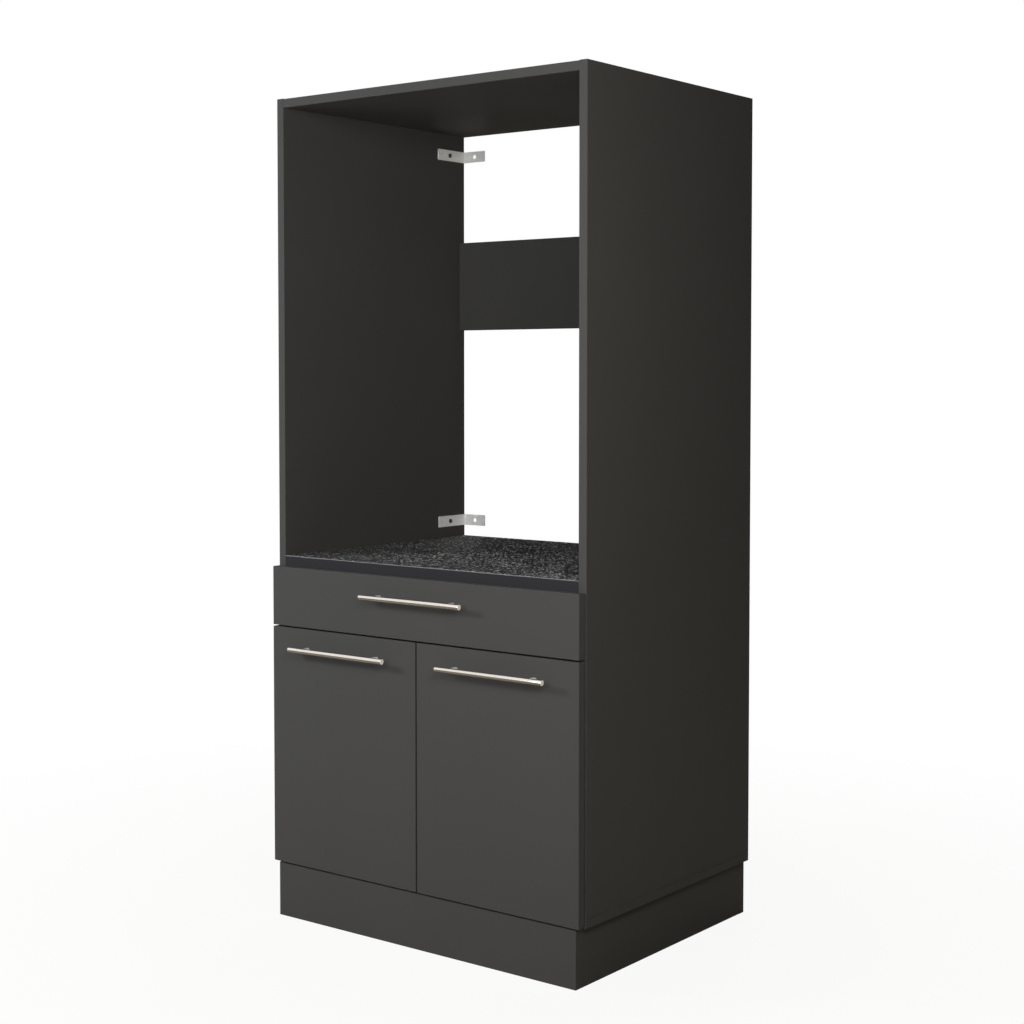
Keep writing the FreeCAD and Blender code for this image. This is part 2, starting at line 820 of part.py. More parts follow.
def door_nodes():
    """Both doors, with their hinge cups, pins, bumpers and handles."""
    right = {
        "door_panel": [door()],
        "hinge_cups": [hinge_cup(level) for level in hinge_levels],
        "hinge_pins": [hinge_pin(level) for level in hinge_levels],
        "bumpers": door_bumpers(),
        "handle_bar": [handle_bar(door_middle, door_handle_z)],
        "handle_posts": handle_posts(door_middle, door_handle_z),
        "handle_screws": handle_screws(door_middle, door_handle_z),
    }
    nodes = {"right_" + name: solids for name, solids in right.items()}
    for name, solids in right.items():
        nodes["left_" + name] = [mirrored(solid) for solid in solids]
    return nodes


os.makedirs("parts", exist_ok=True)
for nodes in (carcass_nodes(), drawer_nodes(), roller_nodes(), door_nodes()):
    for node_name, node_solids in nodes.items():
        export(node_name, node_solids)
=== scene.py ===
"""Looks of a tall utility cabinet: finishes of its CAD nodes, small turned pieces, studio and camera."""

import logging
import math
from collections.abc import Callable, Iterator
from contextlib import contextmanager
from dataclasses import dataclass
from enum import Enum

import bmesh
import bpy
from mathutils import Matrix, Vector


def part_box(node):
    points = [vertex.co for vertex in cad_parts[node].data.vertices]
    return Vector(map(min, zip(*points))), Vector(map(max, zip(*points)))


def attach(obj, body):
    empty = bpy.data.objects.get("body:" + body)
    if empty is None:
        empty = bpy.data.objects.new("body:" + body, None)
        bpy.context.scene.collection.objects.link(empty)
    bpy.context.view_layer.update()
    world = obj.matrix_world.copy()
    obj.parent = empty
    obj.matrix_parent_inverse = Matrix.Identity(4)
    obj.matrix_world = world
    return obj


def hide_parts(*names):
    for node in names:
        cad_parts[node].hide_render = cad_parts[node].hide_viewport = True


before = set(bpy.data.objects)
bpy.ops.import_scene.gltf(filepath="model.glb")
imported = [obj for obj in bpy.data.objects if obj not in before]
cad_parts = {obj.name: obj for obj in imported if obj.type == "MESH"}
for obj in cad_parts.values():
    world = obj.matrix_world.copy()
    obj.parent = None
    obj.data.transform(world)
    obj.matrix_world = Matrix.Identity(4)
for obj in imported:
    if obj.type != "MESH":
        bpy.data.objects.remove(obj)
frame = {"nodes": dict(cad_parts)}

LOG = logging.getLogger("cabinet")
MM = 0.001
WHITE = "#ffffff"

# Faces of a round piece that meet at less than this angle are shaded as one
SMOOTH_ANGLE = math.radians(35.0)

# Least share of a face's normal along a direction, for a face that looks that way and for one square to it
ALONG = 0.9
SQUARE = 0.99

# How many finer layers a noise pattern has
PLAIN = 1.0
SOFT = 2.0
UNEVEN = 3.0
RAGGED = 4.0
MATTED = 6.0

Tree = bpy.types.NodeTree
Node = bpy.types.Node
Socket = bpy.types.NodeSocket
Piece = bpy.types.Object
Point = tuple[float, float, float]
Place = tuple[Vector, Vector]
Inputs = dict[str | int, object]
FaceTest = Callable[[bmesh.types.BMFace], bool]


class Side(Enum):
    """The two sides of the cabinet, seen from the front."""

    LEFT = -1
    RIGHT = 1

    @property
    def word(self) -> str:
        """The word that starts the names of this side's nodes."""
        return self.name.lower()

    @property
    def outward(self) -> Vector:
        """The direction from the middle of the cabinet to this side."""
        return Vector((self.value, 0.0, 0.0))

    @property
    def inward(self) -> Vector:
        """The direction from this side to the middle of the cabinet."""
        return Vector((-self.value, 0.0, 0.0))


class Axis(Enum):
    """A direction of the frame that a grain, a pattern or a small piece follows."""

    X = (1.0, 0.0, 0.0)
    Y = (0.0, 1.0, 0.0)
    Z = (0.0, 0.0, 1.0)

    @property
    def way(self) -> Vector:
        """The direction as a vector."""
        return Vector(self.value)


class End(Enum):
    """The two ends of a piece that is modelled about Z."""

    LOWER = -1.0
    UPPER = 1.0


class Slot(Enum):
    """Names of the record's material slots for the new pieces."""

    STEEL = "brushed_steel"
    SCREWS = "zinc_screws"
    NYLON = "roller_nylon"
    BUMPERS = "bumper_plastic"
    HINGES = "hinge_nickel"


class Kind(Enum):
    """The node types that the finishes and the studio use."""

    COORDS = "ShaderNodeTexCoord"
    MAPPING = "ShaderNodeMapping"
    NOISE = "ShaderNodeTexNoise"
    CELLS = "ShaderNodeTexVoronoi"
    CHANNELS = "ShaderNodeSeparateColor"
    RAMP = "ShaderNodeValToRGB"
    RANGE = "ShaderNodeMapRange"
    MIX = "ShaderNodeMix"
    MATH = "ShaderNodeMath"
    VECTOR_MATH = "ShaderNodeVectorMath"
    BUMP = "ShaderNodeBump"
    LIGHT_PATH = "ShaderNodeLightPath"
    PRINCIPLED = "ShaderNodeBsdfPrincipled"
    DIFFUSE = "ShaderNodeBsdfDiffuse"
    EMISSION = "ShaderNodeEmission"
    MIX_SHADER = "ShaderNodeMixShader"
    BACKGROUND = "ShaderNodeBackground"
    MATERIAL_OUTPUT = "ShaderNodeOutputMaterial"
    WORLD_OUTPUT = "ShaderNodeOutputWorld"


def linear(hex_colour: str) -> tuple[float, float, float, float]:
    """Turn an sRGB hex colour into linear values.

    Args:
        hex_colour: Six hex digits after a hash.

    Returns:
        Linear red, green and blue, and an alpha of one.
    """
    channels = [int(hex_colour[start : start + 2], 16) / 255 for start in (1, 3, 5)]
    # The curve of the sRGB standard
    values = [c / 12.92 if c <= 0.04045 else ((c + 0.055) / 1.055) ** 2.4 for c in channels]
    return (values[0], values[1], values[2], 1.0)


def per_mm(size: float) -> float:
    """Pattern scale, for coordinates in metres, whose features measure this many millimetres."""
    return 1.0 / (size * MM)


def stretched(axis: Axis, along: float, across: float) -> Point:
    """Pattern scales for features that are longer or shorter in one direction.

    Args:
        axis: The direction.
        along: Size of a feature in that direction, in millimetres.
        across: Its size in the other two, in millimetres.

    Returns:
        The scale for each of X, Y and Z.
    """
    scales = [per_mm(along) if part else per_mm(across) for part in axis.value]
    return (scales[0], scales[1], scales[2])


def add_node(tree: Tree, kind: Kind, inputs: Inputs | None = None, **settings: str) -> Node:
    """Add one node with its settings and links.

    Args:
        tree: The node tree that gets it.
        kind: The node's type.
        inputs: Values or output sockets, by input name or number.
        settings: Properties of the node.

    Returns:
        The new node.
    """
    node = tree.nodes.new(kind.value)
    for name, value in settings.items():
        setattr(node, name, value)
    for key, value in (inputs or {}).items():
        if isinstance(value, Socket):
            tree.links.new(value, node.inputs[key])
        else:
            node.inputs[key].default_value = value
    return node


def streaks(tree: Tree, coords: Node, scales: Point, detail: float) -> Socket:
    """Draw noise out into lines.

    Args:
        tree: The material's node tree.
        coords: Its Texture Coordinate node.
        scales: The pattern's scale for each of X, Y and Z.
        detail: How many finer layers the noise has.

    Returns:
        The lines, from 0 to 1.
    """
    drawn = add_node(tree, Kind.MAPPING, {"Vector": coords.outputs["Object"], "Scale": scales})
    noise = {"Vector": drawn.outputs["Vector"], "Scale": 1.0, "Detail": detail}
    return add_node(tree, Kind.NOISE, noise).outputs["Fac"]


def turned(tree: Tree, coords: Node, way: Point, least: float, either_way: bool = False) -> Socket:
    """Mask the faces that look one way.

    Args:
        tree: The material's node tree.
        coords: Its Texture Coordinate node.
        way: The direction.
        least: Least share of a face's normal along it.
        either_way: Whether faces that look the opposite way count too.

    Returns:
        One on those faces, and nought elsewhere.
    """
    along = {0: coords.outputs["Normal"], 1: way}
    share = add_node(tree, Kind.VECTOR_MATH, along, operation="DOT_PRODUCT").outputs["Value"]
    if either_way:
        share = add_node(tree, Kind.MATH, {0: share}, operation="ABSOLUTE").outputs["Value"]
    return add_node(tree, Kind.MATH, {0: share, 1: least}, operation="GREATER_THAN").outputs["Value"]


@dataclass(frozen=True)
class Surface:
    """The sheen and the relief that a pattern gives a material.

    The roughness goes from smooth to rough with the pattern. The relief, where there is one, is depth
    millimetres high.
    """

    smooth: float
    rough: float
    strength: float = 0.0
    depth: float = 0.0

    def inputs(self, tree: Tree, sheen: Socket, height: Socket) -> Inputs:
        """Add the nodes of the sheen and the relief.

        Args:
            tree: The material's node tree.
            sheen: The pattern that the roughness follows.
            height: The pattern that the relief follows.

        Returns:
            Inputs of the shader: its roughness and, where there is a relief, its normal.
        """
        gloss = add_node(tree, Kind.RANGE, {"Value": sheen, "To Min": self.smooth, "To Max": self.rough})
        inputs = {"Roughness": gloss.outputs["Result"]}
        if self.strength:
            dents = {"Height": height, "Strength": self.strength, "Distance": self.depth * MM}
            inputs["Normal"] = add_node(tree, Kind.BUMP, dents).outputs["Normal"]
        return inputs


@dataclass(frozen=True)
class Finish:
    """A real material with its surface, from which one Blender material is made."""

    name: str

    def shade(self, tree: Tree, coords: Node) -> Inputs:
        """Add the nodes that give this finish its look.

        Args:
            tree: The material's node tree.
            coords: Its Texture Coordinate node.

        Returns:
            Inputs of the shader.
        """
        raise NotImplementedError

    def material(self) -> bpy.types.Material:
        """Find the finish's material, or make it on first use.

        Returns:
            The material.
        """
        made = bpy.data.materials.get(self.name)
        if made is None:
            made = bpy.data.materials.new(self.name)
            made.use_nodes = True
            tree = made.node_tree
            tree.nodes.clear()
            inputs = self.shade(tree, add_node(tree, Kind.COORDS))
            shader = add_node(tree, Kind.PRINCIPLED, inputs)
            add_node(tree, Kind.MATERIAL_OUTPUT, {"Surface": shader.outputs["BSDF"]})
        return made


@dataclass(frozen=True)
class MelamineBoard(Finish):
    """Chipboard faced with printed melamine paper, pressed against a finely pearled plate."""

    colour: str
    cloud_colour: str
    cloud: float = 260.0
    pearl: float = 2.6
    surface: Surface = Surface(smooth=0.41, rough=0.51, strength=0.08, depth=0.2)
    specular: float = 0.12

    def shade(self, tree: Tree, coords: Node) -> Inputs:
        """Give a matt face with faint clouds in the print and a pearl that breaks up the sheen.

        Args:
            tree: The material's node tree.
            coords: Its Texture Coordinate node.

        Returns:
            Inputs of the shader.
        """
        place = coords.outputs["Object"]
        clouds = add_node(tree, Kind.NOISE, {"Vector": place, "Scale": per_mm(self.cloud), "Detail": UNEVEN})
        # The pressed pearl is about 0.5 mm wide and is drawn coarser so that it shows
        pearl = add_node(tree, Kind.NOISE, {"Vector": place, "Scale": per_mm(self.pearl), "Detail": SOFT})
        tones = {"Factor": clouds.outputs["Fac"], "A": linear(self.colour), "B": linear(self.cloud_colour)}
        tone = add_node(tree, Kind.MIX, tones, data_type="RGBA")
        return {
            "Base Color": tone.outputs["Result"],
            "Specular IOR Level": self.specular,
            **self.surface.inputs(tree, pearl.outputs["Fac"], pearl.outputs["Fac"]),
        }


@dataclass(frozen=True)
class GraniteLaminate(Finish):
    """High-pressure laminate with a granite print on a chipboard core that is bare at the back."""

    ground: str = "#141416"
    grain: str = "#2c2c2f"
    chip: str = "#424246"
    fleck: str = "#fcfcfc"
    core: str = "#9c8059"
    core_dark: str = "#6d5437"
    chip_size: float = 2.2
    fleck_size: float = 3.0
    core_chip: float = 4.0
    grit: float = 1.5
    ground_end: float = 0.25
    grain_middle: float = 0.6
    chip_start: float = 0.95
    fleck_start: float = 0.87
    fleck_full: float = 0.9
    surface: Surface = Surface(smooth=0.34, rough=0.56, strength=0.25, depth=0.2)
    specular: float = 0.35

    def shade(self, tree: Tree, coords: Node) -> Inputs:
        """Give dark stone with grey chips and a scatter of pale flecks, under a crystal-textured sheen.

        Args:
            tree: The material's node tree.
            coords: Its Texture Coordinate node.

        Returns:
            Inputs of the shader.
        """
        place = coords.outputs["Object"]
        # Real chips and flecks are 1 to 3 mm wide, and these are at the coarse end of that so that they show
        chips = add_node(tree, Kind.CELLS, {"Vector": place, "Scale": per_mm(self.chip_size)})
        flecks = add_node(tree, Kind.CELLS, {"Vector": place, "Scale": per_mm(self.fleck_size)})
        shavings = add_node(tree, Kind.CELLS, {"Vector": place, "Scale": per_mm(self.core_chip)})
        # The pressed crystal texture is about 0.5 mm wide and is drawn coarser so that it shows
        grit = add_node(tree, Kind.NOISE, {"Vector": place, "Scale": per_mm(self.grit), "Detail": SOFT})
        chip_share = add_node(tree, Kind.CHANNELS, {"Color": chips.outputs["Color"]})
        fleck_share = add_node(tree, Kind.CHANNELS, {"Color": flecks.outputs["Color"]})
        shaving_share = add_node(tree, Kind.CHANNELS, {"Color": shavings.outputs["Color"]})
        stone = add_node(tree, Kind.RAMP, {"Fac": chip_share.outputs["Red"]})
        ramp = stone.color_ramp.elements
        ramp[0].color = linear(self.ground)
        ramp[0].position = self.ground_end
        ramp[1].color = linear(self.chip)
        ramp[1].position = self.chip_start
        ramp.new(self.grain_middle).color = linear(self.grain)
        rare = fleck_share.outputs["Green"]
        few = {"Value": rare, "From Min": self.fleck_start, "From Max": self.fleck_full}
        pale = add_node(tree, Kind.RANGE, few)
        flecked = {"Factor": pale.outputs["Result"], "A": stone.outputs["Color"], "B": linear(self.fleck)}
        face = add_node(tree, Kind.MIX, flecked, data_type="RGBA")
        woody = {"Factor": shaving_share.outputs["Blue"], "A": linear(self.core), "B": linear(self.core_dark)}
        core = add_node(tree, Kind.MIX, woody, data_type="RGBA")
        bare = turned(tree, coords, Axis.Y.value, ALONG)
        tones = {"Factor": bare, "A": face.outputs["Result"], "B": core.outputs["Result"]}
        tone = add_node(tree, Kind.MIX, tones, data_type="RGBA")
        return {
            "Base Color": tone.outputs["Result"],
            "Specular IOR Level": self.specular,
            **self.surface.inputs(tree, grit.outputs["Fac"], grit.outputs["Fac"]),
        }


@dataclass(frozen=True)
class EdgingStrip(Finish):
    """Extruded ABS edging, ironed on and cut flush with a scraper."""

    colour: str = "#2a2a2e"
    streak_colour: str = "#252529"
    # Pale colour of the arris faces, a painted highlight
    arris_highlight: str = "#86868a"
    arris: Point = (0.0, -0.707, 0.707)
    drag_length: float = 160.0
    drag_width: float = 1.6
    surface: Surface = Surface(smooth=0.32, rough=0.4, strength=0.1, depth=0.1)
    specular: float = 0.3

    def shade(self, tree: Tree, coords: Node) -> Inputs:
        """Give a smooth band with the die's drag lines along it, and a painted highlight on its arris.

        Args:
            tree: The material's node tree.
            coords: Its Texture Coordinate node.

        Returns:
            Inputs of the shader.
        """
        # The die's lines are about 0.3 mm wide and are drawn coarser so that they show
        drag = streaks(tree, coords, stretched(Axis.X, self.drag_length, self.drag_width), SOFT)
        band = {"Factor": drag, "A": linear(self.colour), "B": linear(self.streak_colour)}
        face = add_node(tree, Kind.MIX, band, data_type="RGBA")
        # The arris faces get the pale colour of a painted highlight
        bare = turned(tree, coords, self.arris, ALONG)
        tones = {"Factor": bare, "A": face.outputs["Result"], "B": linear(self.arris_highlight)}
        tone = add_node(tree, Kind.MIX, tones, data_type="RGBA")
        return {
            "Base Color": tone.outputs["Result"],
            "Specular IOR Level": self.specular,
            **self.surface.inputs(tree, drag, drag),
        }


@dataclass(frozen=True)
class BrushedSteel(Finish):
    """Stainless steel brushed along its length."""

    colour: str = "#f4efe9"
    shade_colour: str = "#ddd4ca"
    # The ends' pale colour and low metallic are a painted highlight
    end_highlight_colour: str = "#faf8f4"
    end_roughness: float = 0.55
    metallic: float = 1.0
    end_metallic: float = 0.1
    end_share: float = 0.85
    axis: Axis = Axis.X
    hair: float = 0.6
    hair_length: float = 40.0
    surface: Surface = Surface(smooth=0.12, rough=0.24, strength=0.12, depth=0.05)

    def shade(self, tree: Tree, coords: Node) -> Inputs:
        """Give warm metal with scratches that draw highlights into a streak, and matt ends painted pale as a
        highlight.

        Args:
            tree: The material's node tree.
            coords: Its Texture Coordinate node.

        Returns:
            Inputs of the shader.
        """
        # Brush hairs are about 0.1 mm wide and are drawn coarser so that they show
        hairs = streaks(tree, coords, stretched(self.axis, self.hair_length, self.hair), RAGGED)
        brushed = self.surface.inputs(tree, hairs, hairs)
        # Mask of the ends, which are painted pale as a highlight
        painted_bright_ends = turned(tree, coords, self.axis.value, self.end_share, either_way=True)
        scratched = {"Factor": hairs, "A": linear(self.colour), "B": linear(self.shade_colour)}
        barrel = add_node(tree, Kind.MIX, scratched, data_type="RGBA")
        tones = {"Factor": painted_bright_ends, "A": barrel.outputs["Result"], "B": linear(self.end_highlight_colour)}
        tone = add_node(tree, Kind.MIX, tones, data_type="RGBA")
        gloss = add_node(tree, Kind.MIX, {"Factor": painted_bright_ends, "A": brushed["Roughness"], "B": self.end_roughness})
        metal = {"Value": painted_bright_ends, "To Min": self.metallic, "To Max": self.end_metallic}
        bright = add_node(tree, Kind.RANGE, metal)
        return {
            "Base Color": tone.outputs["Result"],
            "Roughness": gloss.outputs["Result"],
            "Metallic": bright.outputs["Result"],
            "Normal": brushed["Normal"],
        }


@dataclass(frozen=True)
class GalvanisedSheet(Finish):
    """Steel strip, zinc coated before it was cut and bent."""

    colour: str = "#f5f6f7"
    shade_colour: str = "#e4e7e9"
    spangle: float = 5.0
    roll_width: float = 0.8
    roll_length: float = 14.0
    surface: Surface = Surface(smooth=0.34, rough=0.5, strength=0.1, depth=0.05)
    # The strip looks pale and even in the photograph, so it hardly mirrors
    metallic: float = 0.05

    def shade(self, tree: Tree, coords: Node) -> Inputs:
        """Give a pale grey metal with the soft patches of zinc crystals and rolling lines across them.

        Args:
            tree: The material's node tree.
            coords: Its Texture Coordinate node.

        Returns:
            Inputs of the shader.
        """
        patches = {"Vector": coords.outputs["Object"], "Scale": per_mm(self.spangle)}
        crystals = add_node(tree, Kind.CELLS, patches)
        share = add_node(tree, Kind.CHANNELS, {"Color": crystals.outputs["Color"]})
        # Rolling lines are about 0.1 mm wide and are drawn coarser so that they show
        lines = streaks(tree, coords, stretched(Axis.Z, self.roll_width, self.roll_length), UNEVEN)
        zinc = add_node(tree, Kind.MATH, {0: share.outputs["Red"], 1: lines}, operation="MULTIPLY")
        tones = {"Factor": zinc.outputs["Value"], "A": linear(self.colour), "B": linear(self.shade_colour)}
        tone = add_node(tree, Kind.MIX, tones, data_type="RGBA")
        return {
            "Base Color": tone.outputs["Result"],
            "Metallic": self.metallic,
            **self.surface.inputs(tree, zinc.outputs["Value"], lines),
        }


@dataclass(frozen=True)
class Grained(Finish):
    """A finish whose tone, sheen and relief all follow one grain."""

    colour: str
    shade_colour: str
    grain: float
    detail: float
    surface: Surface
    metallic: float = 0.0
    transmission: float = 0.0

    def shade(self, tree: Tree, coords: Node) -> Inputs:
        """Give two near tones in small patches, with a sheen and a relief to match.

        Args:
            tree: The material's node tree.
            coords: Its Texture Coordinate node.

        Returns:
            Inputs of the shader.
        """
        noise = {"Vector": coords.outputs["Object"], "Scale": per_mm(self.grain), "Detail": self.detail}
        grain = add_node(tree, Kind.NOISE, noise).outputs["Fac"]
        tones = {"Factor": grain, "A": linear(self.colour), "B": linear(self.shade_colour)}
        tone = add_node(tree, Kind.MIX, tones, data_type="RGBA")
        return {
            "Base Color": tone.outputs["Result"],
            "Metallic": self.metallic,
            "Transmission Weight": self.transmission,
            **self.surface.inputs(tree, grain, grain),
        }


@dataclass(frozen=True)
class PlatedSteel(Grained):
    """Small pressed or turned steel with a thin plating: bright, slightly uneven, and dull in patches."""

    grain: float = 3.0
    detail: float = RAGGED
    surface: Surface = Surface(smooth=0.24, rough=0.46)
    metallic: float = 0.6


@dataclass(frozen=True)
class StoveEnamel(Grained):
    """Rolled steel sheet under a baked powder coat: pale grey, with a fine orange peel."""

    colour: str = "#b9bbbc"
    shade_colour: str = "#adafb1"
    grain: float = 1.8
    detail: float = PLAIN
    surface: Surface = Surface(smooth=0.3, rough=0.42, strength=0.2, depth=0.1)


@dataclass(frozen=True)
class MouldedPlastic(Grained):
    """Injection-moulded plastic with a spark-eroded texture: soft and even, opaque or partly clear."""

    # The eroded grit is about 0.1 mm wide and is drawn coarser so that it shows
    grain: float = 0.9
    detail: float = SOFT
    surface: Surface = Surface(smooth=0.36, rough=0.48, strength=0.15, depth=0.05)


@dataclass(frozen=True)
class Beech(Finish):
    """Planed or fluted beech, left bare."""

    colour: str = "#cfa878"
    shade_colour: str = "#b98d5e"
    fleck_colour: str = "#8f633c"
    axis: Axis = Axis.Z
    band_length: float = 120.0
    band_width: float = 5.0
    fleck_length: float = 3.0
    fleck_width: float = 0.5
    fleck_start: float = 0.62
    fleck_full: float = 0.72
    fleck_share: float = 0.7
    pore_strength: float = 0.15
    pore_depth: float = 0.1
    roughness: float = 0.6

    def shade(self, tree: Tree, coords: Node) -> Inputs:
        """Give pinkish even wood with long faint growth bands and the short dark flecks of beech.

        Args:
            tree: The material's node tree.
            coords: Its Texture Coordinate node.

        Returns:
            Inputs of the shader.
        """
        bands = streaks(tree, coords, stretched(self.axis, self.band_length, self.band_width), UNEVEN)
        ticks = streaks(tree, coords, stretched(self.axis, self.fleck_length, self.fleck_width), PLAIN)
        few = {
            "Value": ticks,
            "From Min": self.fleck_start,
            "From Max": self.fleck_full,
            "To Max": self.fleck_share,
        }
        dark = add_node(tree, Kind.RANGE, few).outputs["Result"]
        banded = {"Factor": bands, "A": linear(self.colour), "B": linear(self.shade_colour)}
        wood = add_node(tree, Kind.MIX, banded, data_type="RGBA")
        tones = {"Factor": dark, "A": wood.outputs["Result"], "B": linear(self.fleck_colour)}
        tone = add_node(tree, Kind.MIX, tones, data_type="RGBA")
        pores = {"Height": ticks, "Strength": self.pore_strength, "Distance": self.pore_depth * MM}
        relief = add_node(tree, Kind.BUMP, pores)
        return {
            "Base Color": tone.outputs["Result"],
            "Roughness": self.roughness,
            "Normal": relief.outputs["Normal"],
        }


@dataclass(frozen=True)
class Hardboard(Finish):
    """Wood fibre pressed between a smooth plate, whose face is then printed, and a wire screen."""

    colour: str
    cloud_colour: str
    raw: str = "#7b5a3c"
    raw_dark: str = "#5f4329"
    raw_way: Point = Axis.Y.value
    raw_share: float = 0.5
    cloud: float = 120.0
    fibre: float = 3.0
    mesh: float = 2.2
    surface: Surface = Surface(smooth=0.5, rough=0.85, strength=0.4, depth=0.3)
    specular: float = 0.2

    def shade(self, tree: Tree, coords: Node) -> Inputs:
        """Give one smooth printed face, and one brown face of matted fibre with the mark of the screen.

        Args:
            tree: The material's node tree.
            coords: Its Texture Coordinate node.

        Returns:
            Inputs of the shader.
        """
        place = coords.outputs["Object"]
        clouds = add_node(tree, Kind.NOISE, {"Vector": place, "Scale": per_mm(self.cloud), "Detail": UNEVEN})
        fibres = add_node(tree, Kind.NOISE, {"Vector": place, "Scale": per_mm(self.fibre), "Detail": MATTED})
        # The screen's wires are about 1.5 mm apart and are drawn coarser so that they show
        screen = add_node(tree, Kind.CELLS, {"Vector": place, "Scale": per_mm(self.mesh), "Randomness": 0.0})
        cloudy = {"Factor": clouds.outputs["Fac"], "A": linear(self.colour), "B": linear(self.cloud_colour)}
        printed = add_node(tree, Kind.MIX, cloudy, data_type="RGBA")
        fibrous = {"Factor": fibres.outputs["Fac"], "A": linear(self.raw), "B": linear(self.raw_dark)}
        matted = add_node(tree, Kind.MIX, fibrous, data_type="RGBA")
        bare = turned(tree, coords, self.raw_way, self.raw_share)
        tones = {"Factor": bare, "A": printed.outputs["Result"], "B": matted.outputs["Result"]}
        tone = add_node(tree, Kind.MIX, tones, data_type="RGBA")
        mark = add_node(tree, Kind.MATH, {0: screen.outputs["Distance"], 1: bare}, operation="MULTIPLY")
        return {
            "Base Color": tone.outputs["Result"],
            "Specular IOR Level": self.specular,
            **self.surface.inputs(tree, bare, mark.outputs["Value"]),
        }


ANTHRACITE = MelamineBoard("anthracite_melamine", colour="#494949", cloud_colour="#454545")
DRAWER_GREY = MelamineBoard("pale_grey_melamine", colour="#c9c9c6", cloud_colour="#c2c2bf", pearl=1.8)
GRANITE = GraniteLaminate("granite_laminate")
EDGING = EdgingStrip("dark_abs_edging")
STEEL_BAR = BrushedSteel("brushed_stainless_bar")
# The posts look pale and even in the photograph, so they hardly mirror
# The posts' near-white colour, which hardly mirrors, is a painted highlight on the steel
STEEL_POST = BrushedSteel(
    "stainless_post_painted_pale",
    colour="#fbf9f6",
    shade_colour="#efebe5",
    metallic=0.05,
    axis=Axis.Y,
    hair_length=12.0,
    surface=Surface(smooth=0.34, rough=0.46, strength=0.12, depth=0.05),
)
ZINC_STRIP = GalvanisedSheet("galvanised_strip")
ZINC_SCREW = PlatedSteel("zinc_plated_screw", colour="#d3d5d7", shade_colour="#b0b4b8")
# The bracket screws are drawn dark
DARK_SCREW = PlatedSteel("dark_bracket_screw", colour="#5c5e61", shade_colour="#3a3c3f", metallic=0.9)
NICKEL = PlatedSteel("nickel_plated_steel", colour="#dcd8d1", shade_colour="#c6c1b8", grain=8.0)
ENAMEL = StoveEnamel("grey_stove_enamel")
NYLON = MouldedPlastic("moulded_nylon", colour="#e4e2da", shade_colour="#d6d3c9")
SOFT_CLEAR = MouldedPlastic(
    "clear_soft_plastic",
    colour="#dfe4e6",
    shade_colour="#d2d8da",
    surface=Surface(smooth=0.18, rough=0.3, strength=0.15, depth=0.05),
    transmission=0.55,
)
BEECH_BLOCK = Beech("planed_beech", axis=Axis.Z)
BEECH_DOWEL = Beech("fluted_beech", axis=Axis.X)
BACK_BOARD = Hardboard("printed_hardboard_back", colour="#454343", cloud_colour="#413f3f")
DRAWER_BASE = Hardboard(
    "printed_hardboard_base", colour="#c4c4c1", cloud_colour="#bcbcb8", raw_way=(0.0, 0.0, -1.0)
)


def clear_selection() -> None:
    """Leave edit mode and deselect every object."""
    if bpy.context.object is not None and bpy.context.object.mode != "OBJECT":
        bpy.ops.object.mode_set(mode="OBJECT")
    bpy.ops.object.select_all(action="DESELECT")


def take(piece: Piece) -> None:
    """Make one object the only selected one, and active.

    Args:
        piece: The object.
    """
    clear_selection()
    piece.select_set(True)
    bpy.context.view_layer.objects.active = piece


@contextmanager
def editing(piece: Piece) -> Iterator[None]:
    """Edit one mesh, at first with nothing selected in it.

    Args:
        piece: The mesh object to edit.
    """
    take(piece)
    bpy.ops.object.mode_set(mode="EDIT")
    bpy.ops.mesh.select_mode(type="FACE")
    bpy.ops.mesh.select_all(action="DESELECT")
    yield
    bpy.ops.object.mode_set(mode="OBJECT")


def pick(piece: Piece, test: FaceTest) -> None:
    """Select the faces of a mesh in edit mode that pass a test.

    Args:
        piece: The mesh object in edit mode.
        test: Says whether a face is wanted.
    """
    bpy.ops.mesh.select_all(action="DESELECT")
    mesh = bmesh.from_edit_mesh(piece.data)
    for face in mesh.faces:
        face.select_set(test(face))
    bmesh.update_edit_mesh(piece.data)


def looking(end: End, least: float = ALONG) -> FaceTest:
    """Make a test for faces that look out of one end.

    Args:
        end: The end.
        least: Least share of the normal that way.

    Returns:
        The test.
    """
    return lambda face: face.normal.z * end.value > least


def is_end(face: bmesh.types.BMFace) -> bool:
    """Whether a face looks out of either end."""
    return abs(face.normal.z) > ALONG


def cylinder(name: str, radius: float, low: float, high: float, sides: int) -> Piece:
    """Add a closed cylinder about Z.

    Args:
        name: Name of the new object.
        radius: Its radius in metres.
        low: Height of its lower end.
        high: Height of its upper end.
        sides: How many flat sides approximate the round.

    Returns:
        The new object, with its place in its mesh.
    """
    clear_selection()
    bpy.ops.mesh.primitive_cylinder_add(
        vertices=sides, radius=radius, depth=high - low, location=(0.0, 0.0, (low + high) / 2)
    )
    piece = bpy.context.active_object
    piece.name = name
    piece.data.name = name
    bpy.ops.object.transform_apply(location=True, rotation=True, scale=True)
    return piece


def cut(piece: Piece, tool: Piece) -> None:
    """Cut one mesh out of another and remove the tool.

    Args:
        piece: The mesh that loses material.
        tool: The mesh that is taken away.
    """
    take(piece)
    modifier = piece.modifiers.new("cut", "BOOLEAN")
    modifier.operation = "DIFFERENCE"
    modifier.solver = "EXACT"
    modifier.object = tool
    bpy.ops.object.modifier_apply(modifier=modifier.name)
    bpy.data.objects.remove(tool)


def smooth(piece: Piece) -> None:
    """Shade a mesh smooth, with its real edges kept sharp."""
    take(piece)
    bpy.ops.object.shade_smooth_by_angle(angle=SMOOTH_ANGLE)


def on_both_sides(spots: list[Point], outward: bool = False) -> list[Place]:
    """Repeat places of the right side on the left.

    Args:
        spots: Points on the right side.
        outward: Whether the pieces point out of the cabinet, and not into it.

    Returns:
        Each point with the direction of its piece, the left side first.
    """
    return [
        (Vector((side.value * x, y, z)), side.outward if outward else side.inward)
        for side in Side
        for x, y, z in spots
    ]


